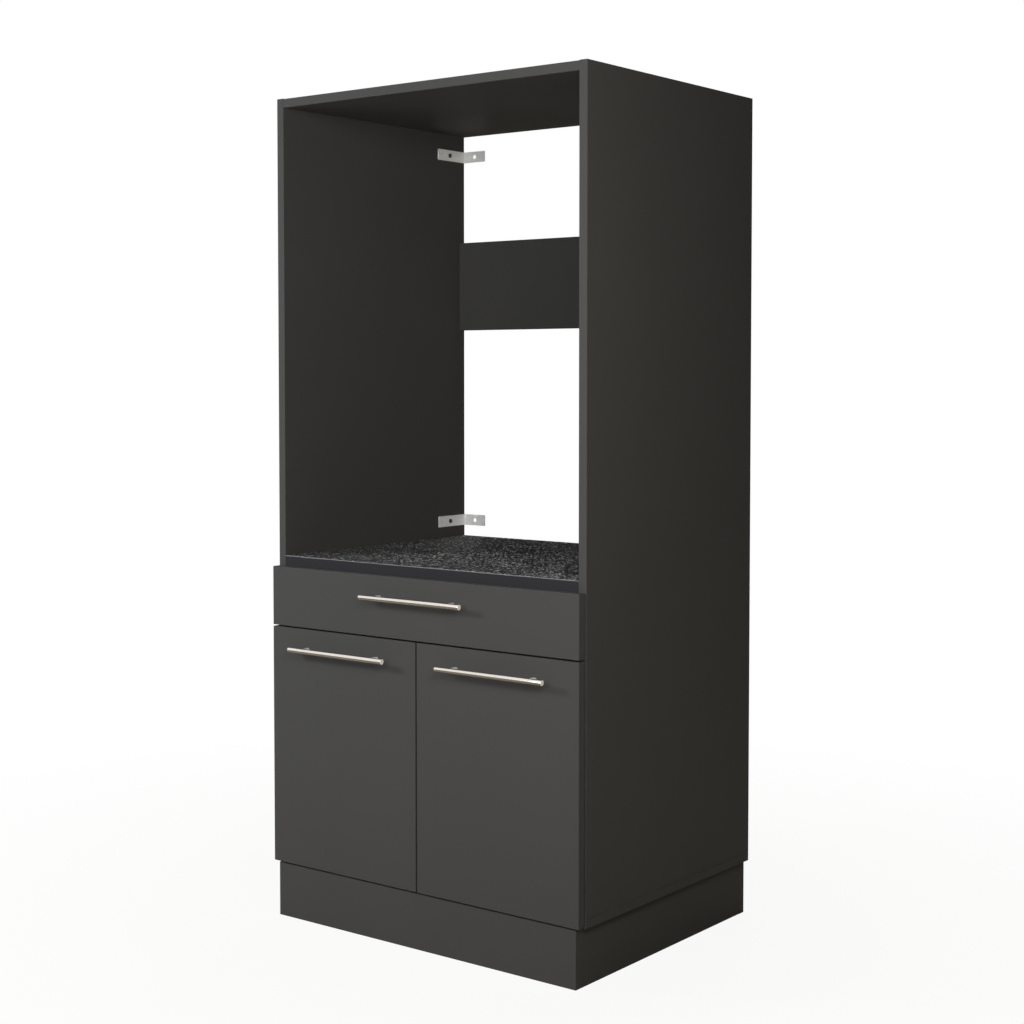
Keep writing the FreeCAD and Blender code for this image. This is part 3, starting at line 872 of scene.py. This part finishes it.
def copies(name: str, pattern: Piece, places: list[Place]) -> Piece:
    """Set copies of a piece that was modelled about Z, and join them.

    Args:
        name: Name of the joined object.
        pattern: The piece at the origin, which is used up.
        places: For each copy, the point of its origin and the direction of its Z axis.

    Returns:
        One object with all copies.
    """
    made = []
    for point, direction in places:
        copy = pattern.copy()
        copy.data = pattern.data.copy()
        bpy.context.scene.collection.objects.link(copy)
        copy.rotation_mode = "QUATERNION"
        copy.rotation_quaternion = Axis.Z.way.rotation_difference(direction)
        copy.location = point
        made.append(copy)
    bpy.data.objects.remove(pattern)
    clear_selection()
    for copy in made:
        copy.select_set(True)
    bpy.context.view_layer.objects.active = made[0]
    bpy.ops.object.transform_apply(location=True, rotation=True, scale=True)
    if len(made) > 1:
        bpy.ops.object.join()
    made[0].name = name
    made[0].data.name = name
    return made[0]


@dataclass
class SubAssembly:
    """Pieces of the cabinet that belong together. Its sizes are in millimetres."""

    nodes: dict[str, Piece]

    def dress(self, finish: Finish, *names: str) -> None:
        """Give CAD nodes a finish.

        Args:
            finish: What they are made of.
            names: The nodes.
        """
        for name in names:
            for slot in self.nodes[name].material_slots:
                slot.material = finish.material()
            LOG.info("dressed %s in %s", name, finish.name)

    def fit(self, piece: Piece, body: str, slot: Slot, finish: Finish, *stands_for: str) -> None:
        """Finish a new piece and let it ride on its body.

        Args:
            piece: The new piece, in place.
            body: The CAD body that carries it.
            slot: The record's material slot; not used.
            finish: What it is made of.
            stands_for: CAD nodes that it is shown in place of.
        """
        smooth(piece)
        piece.data.materials.clear()
        piece.data.materials.append(finish.material())
        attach(piece, body)
        if stands_for:
            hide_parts(*stands_for)
        LOG.info("built %s on %s", piece.name, body)


@dataclass(frozen=True)
class CrossScrew:
    """A screw with a domed head and a cross recess, modelled about Z with its seat at the origin.

    Diameters, heights and lengths are in millimetres. The dome and the recess's depth are shares of the
    head's height, the recess's other sizes are shares of its radius, and the tip is a share of the shank.
    """

    head_diameter: float
    head_height: float
    shank_diameter: float
    shank_length: float
    sides: int = 28
    dome: float = 0.8
    dome_segments: int = 4
    tip: float = 0.2
    tip_width: float = 0.35
    recess_length: float = 1.15
    recess_width: float = 0.24
    recess_depth: float = 1.1
    recess_taper: float = 0.6

    @property
    def head_radius(self) -> float:
        """The head's radius in metres."""
        return self.head_diameter * MM / 2

    def model(self, name: str) -> Piece:
        """Model one screw.

        Args:
            name: Name of the new object.

        Returns:
            The screw, head up, with its shank below the origin.
        """
        radius = self.head_radius
        height = self.head_height * MM
        reach = self.shank_length * MM
        piece = cylinder(name, radius, 0.0, height, self.sides)
        with editing(piece):
            pick(piece, looking(End.UPPER))
            bpy.ops.mesh.bevel(offset=height * self.dome, segments=self.dome_segments, affect="EDGES")
            pick(piece, looking(End.LOWER))
            bpy.ops.mesh.inset(thickness=radius - self.shank_diameter * MM / 2)
            for share in (1.0 - self.tip, self.tip):
                bpy.ops.mesh.extrude_region_move(TRANSFORM_OT_translate={"value": (0.0, 0.0, -reach * share)})
            bpy.ops.transform.resize(value=(self.tip_width, self.tip_width, 1.0))
        for turn in (0.0, math.pi / 2):
            cut(piece, self.blade(turn))
        return piece

    def blade(self, turn: float) -> Piece:
        """Model the tool that cuts one arm of the recess.

        Args:
            turn: Its angle about Z.

        Returns:
            A bar across the head that narrows downwards.
        """
        radius = self.head_radius
        height = self.head_height * MM
        clear_selection()
        bpy.ops.mesh.primitive_cube_add(size=1.0, location=(0.0, 0.0, height), rotation=(0.0, 0.0, turn))
        blade = bpy.context.active_object
        blade.scale = (radius * self.recess_length, radius * self.recess_width, height * self.recess_depth)
        bpy.ops.object.transform_apply(location=True, rotation=True, scale=True)
        with editing(blade):
            pick(blade, looking(End.LOWER))
            bpy.ops.transform.resize(value=(self.recess_taper, self.recess_taper, 1.0))
        return blade


@dataclass
class BarHandle(SubAssembly):
    """A round bar on two posts, with the screws that hold it from behind."""

    prefix: str
    body: str
    bar_sides: int = 64
    post_sides: int = 48
    bevel_segments: int = 2
    end_bevel: float = 1.0
    end_ring: float = 1.3
    end_dish: float = 0.25
    foot_bevel: float = 0.4
    screw: CrossScrew = CrossScrew(head_diameter=8.0, head_height=2.2, shank_diameter=4.0, shank_length=25.0)

    def bar(self) -> None:
        """Model the bar, with broken ends and a shallow turned dish in each end."""
        node = self.prefix + "_handle_bar"
        low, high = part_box(node)
        half = (high.x - low.x) / 2
        piece = cylinder(self.prefix + "_bar", (high.z - low.z) / 2, -half, half, self.bar_sides)
        with editing(piece):
            pick(piece, is_end)
            bpy.ops.mesh.bevel(offset=self.end_bevel * MM, segments=self.bevel_segments, affect="EDGES")
            for end in End:
                pick(piece, looking(end, SQUARE))
                bpy.ops.mesh.inset(thickness=self.end_ring * MM)
                bpy.ops.transform.translate(value=(0.0, 0.0, -end.value * self.end_dish * MM))
        made = copies(piece.name, piece, [((low + high) / 2, Axis.X.way)])
        self.fit(made, self.body, Slot.STEEL, STEEL_BAR, node)

    def posts(self) -> None:
        """Model the two posts, coped to the bar and broken at the foot."""
        node = self.prefix + "_handle_posts"
        low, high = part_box(node)
        bar_low, bar_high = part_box(self.prefix + "_handle_bar")
        radius = (high.z - low.z) / 2
        bar_radius = (bar_high.z - bar_low.z) / 2
        reach = high.y - (bar_low.y + bar_high.y) / 2
        pattern = cylinder(self.prefix + "_posts", radius, 0.0, reach, self.post_sides)
        with editing(pattern):
            pick(pattern, looking(End.LOWER))
            bpy.ops.mesh.bevel(offset=self.foot_bevel * MM, segments=self.bevel_segments, affect="EDGES")
        round_bar = cylinder("round_bar", bar_radius, -2 * radius, 2 * radius, self.bar_sides)
        round_bar.rotation_euler = (0.0, math.pi / 2, 0.0)
        round_bar.location = (0.0, 0.0, reach)
        take(round_bar)
        bpy.ops.object.transform_apply(location=True, rotation=True, scale=True)
        cut(pattern, round_bar)
        level = (low.z + high.z) / 2
        away = Vector((0.0, -1.0, 0.0))
        places = [(Vector((x, high.y, level)), away) for x in (low.x + radius, high.x - radius)]
        made = copies(pattern.name, pattern, places)
        self.fit(made, self.body, Slot.STEEL, STEEL_POST, node)

    def screws(self) -> None:
        """Model the two screws behind the panel."""
        node = self.prefix + "_handle_screws"
        low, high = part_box(node)
        reach = self.screw.head_radius
        seat = high.y - self.screw.head_height * MM
        level = (low.z + high.z) / 2
        places = [(Vector((x, seat, level)), Axis.Y.way) for x in (low.x + reach, high.x - reach)]
        made = copies(self.prefix + "_screws", self.screw.model("handle_screw"), places)
        self.fit(made, self.body, Slot.SCREWS, ZINC_SCREW, node)

    def build(self) -> None:
        """Build the whole handle."""
        self.bar()
        self.posts()
        self.screws()


@dataclass
class Carcass(SubAssembly):
    """The boards that stay still, with their pins, brackets and fittings."""

    body: str = "carcass"
    pin_length: float = 16.0
    pin_sides: int = 28
    pin_round: float = 0.35
    pin_round_segments: int = 3
    hole_pitch: float = 32.0
    plate_wing: float = 23.0
    plate_thickness: float = 3.25
    channel_sheet: float = 1.2
    arm_height: float = 9.0
    arm_lift: float = 5.75
    arm_screw_places: tuple[float, ...] = (8.0, 30.0)
    bracket_screw: CrossScrew = CrossScrew(
        head_diameter=9.0, head_height=2.4, shank_diameter=4.5, shank_length=14.0
    )
    fitting_screw: CrossScrew = CrossScrew(
        head_diameter=7.2, head_height=1.0, shank_diameter=5.0, shank_length=11.0
    )
    arm_screw: CrossScrew = CrossScrew(
        head_diameter=6.4, head_height=1.2, shank_diameter=3.6, shank_length=2.2
    )
    boards: tuple[str, ...] = (
        "left_side_panel", "right_side_panel", "top_panel", "bottom_board", "rear_cross_rail", "front_rail",
        "shelf", "plinth_front", "plinth_rear", "plinth_left", "plinth_right",
    )

    def dress_nodes(self) -> None:
        """Give every carried-over node its finish."""
        self.dress(ANTHRACITE, *self.boards)
        self.dress(GRANITE, "worktop")
        self.dress(EDGING, "worktop_edging")
        self.dress(BACK_BOARD, "lower_back_panel")
        self.dress(BEECH_BLOCK, "plinth_corner_blocks")
        self.dress(BEECH_DOWEL, "carcass_dowels")
        self.dress(ZINC_STRIP, "left_wall_brackets", "right_wall_brackets")
        self.dress(ENAMEL, "left_runner_channel", "right_runner_channel")
        self.dress(NICKEL, "hinge_plates", "hinge_arms", "channel_axles")

    def shelf_pins(self) -> None:
        """Model the four shelf pins, with rounded ends."""
        low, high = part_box("shelf_pins")
        radius = (high.z - low.z) / 2
        length = self.pin_length * MM
        pattern = cylinder("shelf_pin", radius, 0.0, length, self.pin_sides)
        with editing(pattern):
            pick(pattern, is_end)
            bpy.ops.mesh.bevel(
                offset=radius * self.pin_round, segments=self.pin_round_segments, affect="EDGES"
            )
        level = (low.z + high.z) / 2
        spots = [(high.x - length, row, level) for row in (low.y + radius, high.y - radius)]
        made = copies("rounded_shelf_pins", pattern, on_both_sides(spots, outward=True))
        self.fit(made, self.body, Slot.SCREWS, ZINC_SCREW, "shelf_pins")

    def bracket_screws(self) -> None:
        """Model the screws that hold the wall brackets to the side panels."""
        low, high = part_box("bracket_screws")
        radius = self.bracket_screw.head_radius
        seat = high.x - self.bracket_screw.shank_length * MM
        row = (low.y + high.y) / 2
        spots = [(seat, row, level) for level in (low.z + radius, high.z - radius)]
        made = copies("wall_bracket_screws", self.bracket_screw.model("bracket_screw"), on_both_sides(spots))
        self.fit(made, self.body, Slot.SCREWS, DARK_SCREW, "bracket_screws")

    def fitting_screws(self) -> None:
        """Model the screws of the hinge plates and runner channels, in the front and rear rows of holes."""
        pin_low, pin_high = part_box("shelf_pins")
        pin_radius = (pin_high.z - pin_low.z) / 2
        front, rear = pin_low.y + pin_radius, pin_high.y - pin_radius
        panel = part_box("right_side_panel")[0].x
        plate_low, plate_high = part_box("hinge_plates")
        roller_low, roller_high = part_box("front_left_roller")
        runner_level = (roller_low.z + roller_high.z) / 2
        wing, pitch = self.plate_wing * MM, self.hole_pitch * MM
        spots = [
            (panel - self.plate_thickness * MM, front, level + step)
            for level in (plate_low.z + wing, plate_high.z - wing)
            for step in (-pitch / 2, pitch / 2)
        ]
        spots += [(panel - self.channel_sheet * MM, row, runner_level) for row in (front, rear)]
        made = copies("euro_fitting_screws", self.fitting_screw.model("fitting_screw"), on_both_sides(spots))
        self.fit(made, self.body, Slot.SCREWS, ZINC_SCREW, "fitting_screws")

    def arm_screws(self) -> None:
        """Model the two adjusting screws on each hinge arm."""
        low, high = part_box("hinge_arms")
        half = self.arm_height * MM / 2
        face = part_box("right_side_panel")[0].x - self.arm_lift * MM
        spots = [
            (face, high.y - back * MM, level)
            for level in (low.z + half, high.z - half)
            for back in self.arm_screw_places
        ]
        made = copies("hinge_adjusting_screws", self.arm_screw.model("arm_screw"), on_both_sides(spots))
        self.fit(made, self.body, Slot.SCREWS, ZINC_SCREW)

    def build(self) -> None:
        """Dress the carcass and build its small pieces."""
        self.dress_nodes()
        self.shelf_pins()
        self.bracket_screws()
        self.fitting_screws()
        self.arm_screws()


@dataclass
class Drawer(SubAssembly):
    """The drawer's front, box and runners."""

    def build(self) -> None:
        """Dress the drawer's nodes."""
        self.dress(ANTHRACITE, "drawer_front")
        self.dress(DRAWER_GREY, "drawer_left_side", "drawer_right_side", "drawer_back")
        self.dress(DRAWER_BASE, "drawer_bottom")
        self.dress(BEECH_DOWEL, "drawer_dowels")
        self.dress(ENAMEL, "drawer_left_runner", "drawer_right_runner")
        self.dress(NICKEL, "drawer_axles")


@dataclass
class Rollers(SubAssembly):
    """The nylon rollers of the drawer runners."""

    names: tuple[str, ...] = (
        "front_left_roller", "front_right_roller", "rear_left_roller", "rear_right_roller",
    )
    sides: int = 56
    bore: float = 5.1
    bore_sides: int = 40
    rim_bevel: float = 0.6
    rim_segments: int = 3
    groove_inset: float = 1.6
    groove_width: float = 2.0
    groove_depth: float = 1.0

    def pattern(self, radius: float, width: float) -> Piece:
        """Model one roller about Z.

        Args:
            radius: Outer radius in metres.
            width: Width in metres.

        Returns:
            A roller with rounded rims, a moulded groove in each face and a bore.
        """
        piece = cylinder("roller", radius, -width / 2, width / 2, self.sides)
        with editing(piece):
            pick(piece, is_end)
            bpy.ops.mesh.bevel(offset=self.rim_bevel * MM, segments=self.rim_segments, affect="EDGES")
            for end in End:
                pick(piece, looking(end, SQUARE))
                rise = end.value * self.groove_depth * MM
                for inset, step in ((self.groove_inset, -rise), (self.groove_width, rise)):
                    bpy.ops.mesh.inset(thickness=inset * MM)
                    bpy.ops.mesh.extrude_region_move(TRANSFORM_OT_translate={"value": (0.0, 0.0, step)})
        cut(piece, cylinder("bore", self.bore * MM / 2, -width, width, self.bore_sides))
        return piece

    def build(self) -> None:
        """Build the four rollers in place of their nodes."""
        for name in self.names:
            low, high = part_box(name)
            piece = self.pattern((high.z - low.z) / 2, high.x - low.x)
            made = copies(name + "_moulded", piece, [((low + high) / 2, Axis.X.way)])
            self.fit(made, name, Slot.NYLON, NYLON, name)


@dataclass
class Door(SubAssembly):
    """One door with its hinge cups and bumpers."""

    side: Side
    bumper_sides: int = 24
    bumper_dome: float = 0.6
    dome_segments: int = 5
    ear_offset: float = 4.0
    ear_reach: float = 28.0
    ear_pitch: float = 46.0
    pin_sides: int = 32
    pin_bevel: float = 0.3
    pin_bevel_segments: int = 2
    cup_screw: CrossScrew = CrossScrew(
        head_diameter=6.6, head_height=1.3, shank_diameter=3.5, shank_length=12.0
    )

    @property
    def body(self) -> str:
        """The CAD body of this door."""
        return self.side.word + "_door"

    def bumpers(self) -> None:
        """Model the soft domes that meet the carcass."""
        node = self.side.word + "_bumpers"
        low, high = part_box(node)
        radius = (high.x - low.x) / 2
        height = high.y - low.y
        piece = cylinder("bumper", radius, 0.0, height, self.bumper_sides)
        with editing(piece):
            pick(piece, looking(End.UPPER))
            bpy.ops.mesh.bevel(offset=height * self.bumper_dome, segments=self.dome_segments, affect="EDGES")
        x = (low.x + high.x) / 2
        places = [(Vector((x, low.y, z)), Axis.Y.way) for z in (low.z + radius, high.z - radius)]
        made = copies(self.side.word + "_bumper_domes", piece, places)
        self.fit(made, self.body, Slot.BUMPERS, SOFT_CLEAR, node)

    def cup_screws(self) -> None:
        """Model the two screws through the ears of each hinge cup."""
        low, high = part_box(self.side.word + "_hinge_cups")
        x = (low.x + high.x) / 2 - self.side.value * self.ear_offset * MM
        reach, pitch = self.ear_reach * MM, self.ear_pitch * MM
        places = [
            (Vector((x, high.y, level + step)), Axis.Y.way)
            for level in (low.z + reach, high.z - reach)
            for step in (-pitch / 2, pitch / 2)
        ]
        made = copies(self.side.word + "_cup_screws", self.cup_screw.model("cup_screw"), places)
        self.fit(made, self.body, Slot.SCREWS, ZINC_SCREW)

    def hinge_pins(self) -> None:
        """Model the two turned pins across the cups' pockets."""
        node = self.side.word + "_hinge_pins"
        low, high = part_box(node)
        cup_low, cup_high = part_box(self.side.word + "_hinge_cups")
        levels = (cup_low.z + self.ear_reach * MM, cup_high.z - self.ear_reach * MM)
        radius = (high.y - low.y) / 2
        reach = levels[0] - low.z
        pattern = cylinder("hinge_pin", radius, -reach, reach, self.pin_sides)
        with editing(pattern):
            pick(pattern, is_end)
            bpy.ops.mesh.bevel(
                offset=radius * self.pin_bevel, segments=self.pin_bevel_segments, affect="EDGES"
            )
        x, y = (low.x + high.x) / 2, (low.y + high.y) / 2
        places = [(Vector((x, y, level)), Axis.Z.way) for level in levels]
        made = copies(self.side.word + "_turned_pins", pattern, places)
        self.fit(made, self.body, Slot.HINGES, NICKEL, node)

    def build(self) -> None:
        """Dress the door and build its small pieces."""
        self.dress(ANTHRACITE, self.side.word + "_door_panel")
        self.dress(NICKEL, self.side.word + "_hinge_cups")
        self.bumpers()
        self.cup_screws()
        self.hinge_pins()


@dataclass(frozen=True)
class Lamp:
    """A square soft box, which can be kept out of mirror images. Its sizes and places are in metres."""

    name: str
    place: Point
    aim: Point
    size: float
    power: float
    colour: str = WHITE
    mirrored: bool = True

    def build(self) -> None:
        """Hang the lamp, unseen by the camera."""
        data = bpy.data.lights.new(self.name, "AREA")
        data.size = self.size
        data.energy = self.power
        data.color = linear(self.colour)[:3]
        lamp = bpy.data.objects.new(self.name, data)
        bpy.context.scene.collection.objects.link(lamp)
        lamp.location = self.place
        lamp.rotation_mode = "QUATERNION"
        lamp.rotation_quaternion = (Vector(self.aim) - Vector(self.place)).to_track_quat("-Z", "Y")
        lamp.visible_camera = False
        lamp.visible_glossy = self.mirrored


@dataclass
class Studio:
    """Floor, light and camera around the cabinet. Sizes and places are in metres, and angles in degrees."""

    floor_size: float = 16.0
    floor_colour: str = "#e2d9c8"
    fade_start: float = 0.6
    fade_end: float = 1.8
    near_white: float = 0.92
    plain_walls: float = 0.02
    flag_way: Point = (0.1, 1.0, 0.0)
    flag_full: float = 0.5
    flag_faded: float = 0.1
    flag_tone: float = 0.0
    mirrored_floor: float = 0.75
    mirrored_tone: float = 0.06
    lens: float = 62.697
    sensor: float = 36.0
    shift: float = -0.06
    camera_place: Point = (2.0158, -2.6026, 1.0112)
    camera_yaw: float = 37.608
    camera_pitch: float = 2.48
    lamps: tuple[Lamp, ...] = (
        Lamp(
            "key_softbox", (-1.6, -1.45, 1.35), (0.0, -0.2, 0.6), 0.35, 25.0, colour="#f6faff", mirrored=False
        ),
        Lamp("front_softbox", (0.25, -2.7, 1.3), (0.0, 0.0, 1.1), 1.4, 23.0, colour="#fafcff"),
        Lamp("niche_softbox", (1.3, -1.3, 1.4), (-0.33, 0.0, 1.1), 0.6, 17.0, colour="#fff9ee"),
        Lamp("rear_softbox", (-1.3, 3.2, 1.2), (-0.1, 0.3, 0.8), 0.8, 50.0, mirrored=False),
        Lamp("top_softbox", (0.0, 0.25, 3.2), (0.0, 0.25, 1.5), 0.6, 22.0, mirrored=False),
    )

    def straight(self, tree: Tree, path: Node) -> Socket:
        """Mask the rays that see the studio itself: from the camera, or on through clear plastic.

        Args:
            tree: The node tree of the floor or the world.
            path: Its Light Path node.

        Returns:
            One for those rays, and nought for others.
        """
        rays = {0: path.outputs["Is Camera Ray"], 1: path.outputs["Is Transmission Ray"]}
        return add_node(tree, Kind.MATH, rays, operation="MAXIMUM").outputs["Value"]

    def floor(self) -> None:
        """Lay a pale floor that fades to white, keeps a faint shadow and is dim in mirror images."""
        clear_selection()
        bpy.ops.mesh.primitive_plane_add(size=self.floor_size)
        floor = bpy.context.active_object
        floor.name = "studio_floor"
        made = bpy.data.materials.new("pale_studio_floor")
        made.use_nodes = True
        tree = made.node_tree
        tree.nodes.clear()
        coords = add_node(tree, Kind.COORDS)
        path = add_node(tree, Kind.LIGHT_PATH)
        mirror = path.outputs["Is Glossy Ray"]
        reach = add_node(tree, Kind.VECTOR_MATH, {0: coords.outputs["Object"]}, operation="LENGTH")
        spread = {
            "Value": reach.outputs["Value"], "From Min": self.fade_start, "From Max": self.fade_end,
            "To Min": self.near_white, "To Max": 1.0,
        }
        fade = add_node(tree, Kind.RANGE, spread)
        shares = {0: mirror, 1: self.mirrored_floor, 2: self.straight(tree, path)}
        share = add_node(tree, Kind.MATH, shares, operation="MULTIPLY_ADD")
        faded = {0: share.outputs["Value"], 1: fade.outputs["Result"]}
        seen = add_node(tree, Kind.MATH, faded, operation="MULTIPLY")
        tones = {"Factor": mirror, "A": linear(WHITE), "B": linear(self.floor_colour)}
        tone = add_node(tree, Kind.MIX, tones, data_type="RGBA")
        glow = add_node(tree, Kind.RANGE, {"Value": mirror, "To Min": 1.0, "To Max": self.mirrored_tone})
        matt = add_node(tree, Kind.DIFFUSE, {"Color": linear(self.floor_colour)})
        lit = {"Color": tone.outputs["Result"], "Strength": glow.outputs["Result"]}
        white = add_node(tree, Kind.EMISSION, lit)
        layers = {0: seen.outputs["Value"], 1: matt.outputs["BSDF"], 2: white.outputs["Emission"]}
        mixed = add_node(tree, Kind.MIX_SHADER, layers)
        add_node(tree, Kind.MATERIAL_OUTPUT, {"Surface": mixed.outputs["Shader"]})
        floor.data.materials.append(made)

    def world(self) -> None:
        """Surround the cabinet with white walls, and a dark flag behind it that only mirror images show."""
        world = bpy.data.worlds.new("studio")
        bpy.context.scene.world = world
        world.use_nodes = True
        tree = world.node_tree
        tree.nodes.clear()
        coords = add_node(tree, Kind.COORDS)
        path = add_node(tree, Kind.LIGHT_PATH)
        ways = {0: coords.outputs["Generated"], 1: tuple(Vector(self.flag_way).normalized())}
        facing = add_node(tree, Kind.VECTOR_MATH, ways, operation="DOT_PRODUCT")
        flag = {
            "Value": facing.outputs["Value"], "From Min": self.flag_faded, "From Max": self.flag_full,
            "To Min": 1.0, "To Max": self.flag_tone,
        }
        walls = add_node(tree, Kind.RANGE, flag, interpolation_type="SMOOTHSTEP")
        mirror = path.outputs["Is Glossy Ray"]
        bounced = {"Factor": mirror, "A": self.plain_walls, "B": walls.outputs["Result"]}
        soft = add_node(tree, Kind.MIX, bounced)
        whole = {"Factor": self.straight(tree, path), "A": soft.outputs["Result"], "B": 1.0}
        strength = add_node(tree, Kind.MIX, whole)
        light = {"Color": linear(WHITE), "Strength": strength.outputs["Result"]}
        sky = add_node(tree, Kind.BACKGROUND, light)
        add_node(tree, Kind.WORLD_OUTPUT, {"Surface": sky.outputs["Background"]})

    def camera(self) -> None:
        """Stand the camera where the photograph was taken from."""
        data = bpy.data.cameras.new("photo_camera")
        data.lens = self.lens
        data.sensor_width = self.sensor
        data.shift_y = self.shift
        camera = bpy.data.objects.new("photo_camera", data)
        bpy.context.scene.collection.objects.link(camera)
        camera.location = self.camera_place
        # A camera that isn't turned looks straight down, and a quarter turn makes it level
        camera.rotation_euler = (math.radians(90.0 - self.camera_pitch), 0.0, math.radians(self.camera_yaw))
        bpy.context.scene.camera = camera

    def build(self) -> None:
        """Set up the whole studio."""
        self.floor()
        self.world()
        for lamp in self.lamps:
            lamp.build()
        self.camera()
        bpy.context.scene.view_settings.view_transform = "Standard"


def main() -> None:
    """Build and dress the cabinet, then its studio."""
    logging.basicConfig(level=logging.INFO, format="%(name)s: %(message)s")
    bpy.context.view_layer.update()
    nodes = frame["nodes"]
    Carcass(nodes).build()
    Drawer(nodes).build()
    Rollers(nodes).build()
    BarHandle(nodes, prefix="drawer", body="drawer").build()
    for side in Side:
        Door(nodes, side).build()
        BarHandle(nodes, prefix=side.word, body=side.word + "_door").build()
    Studio().build()


if __name__ == "__main__":
    main()
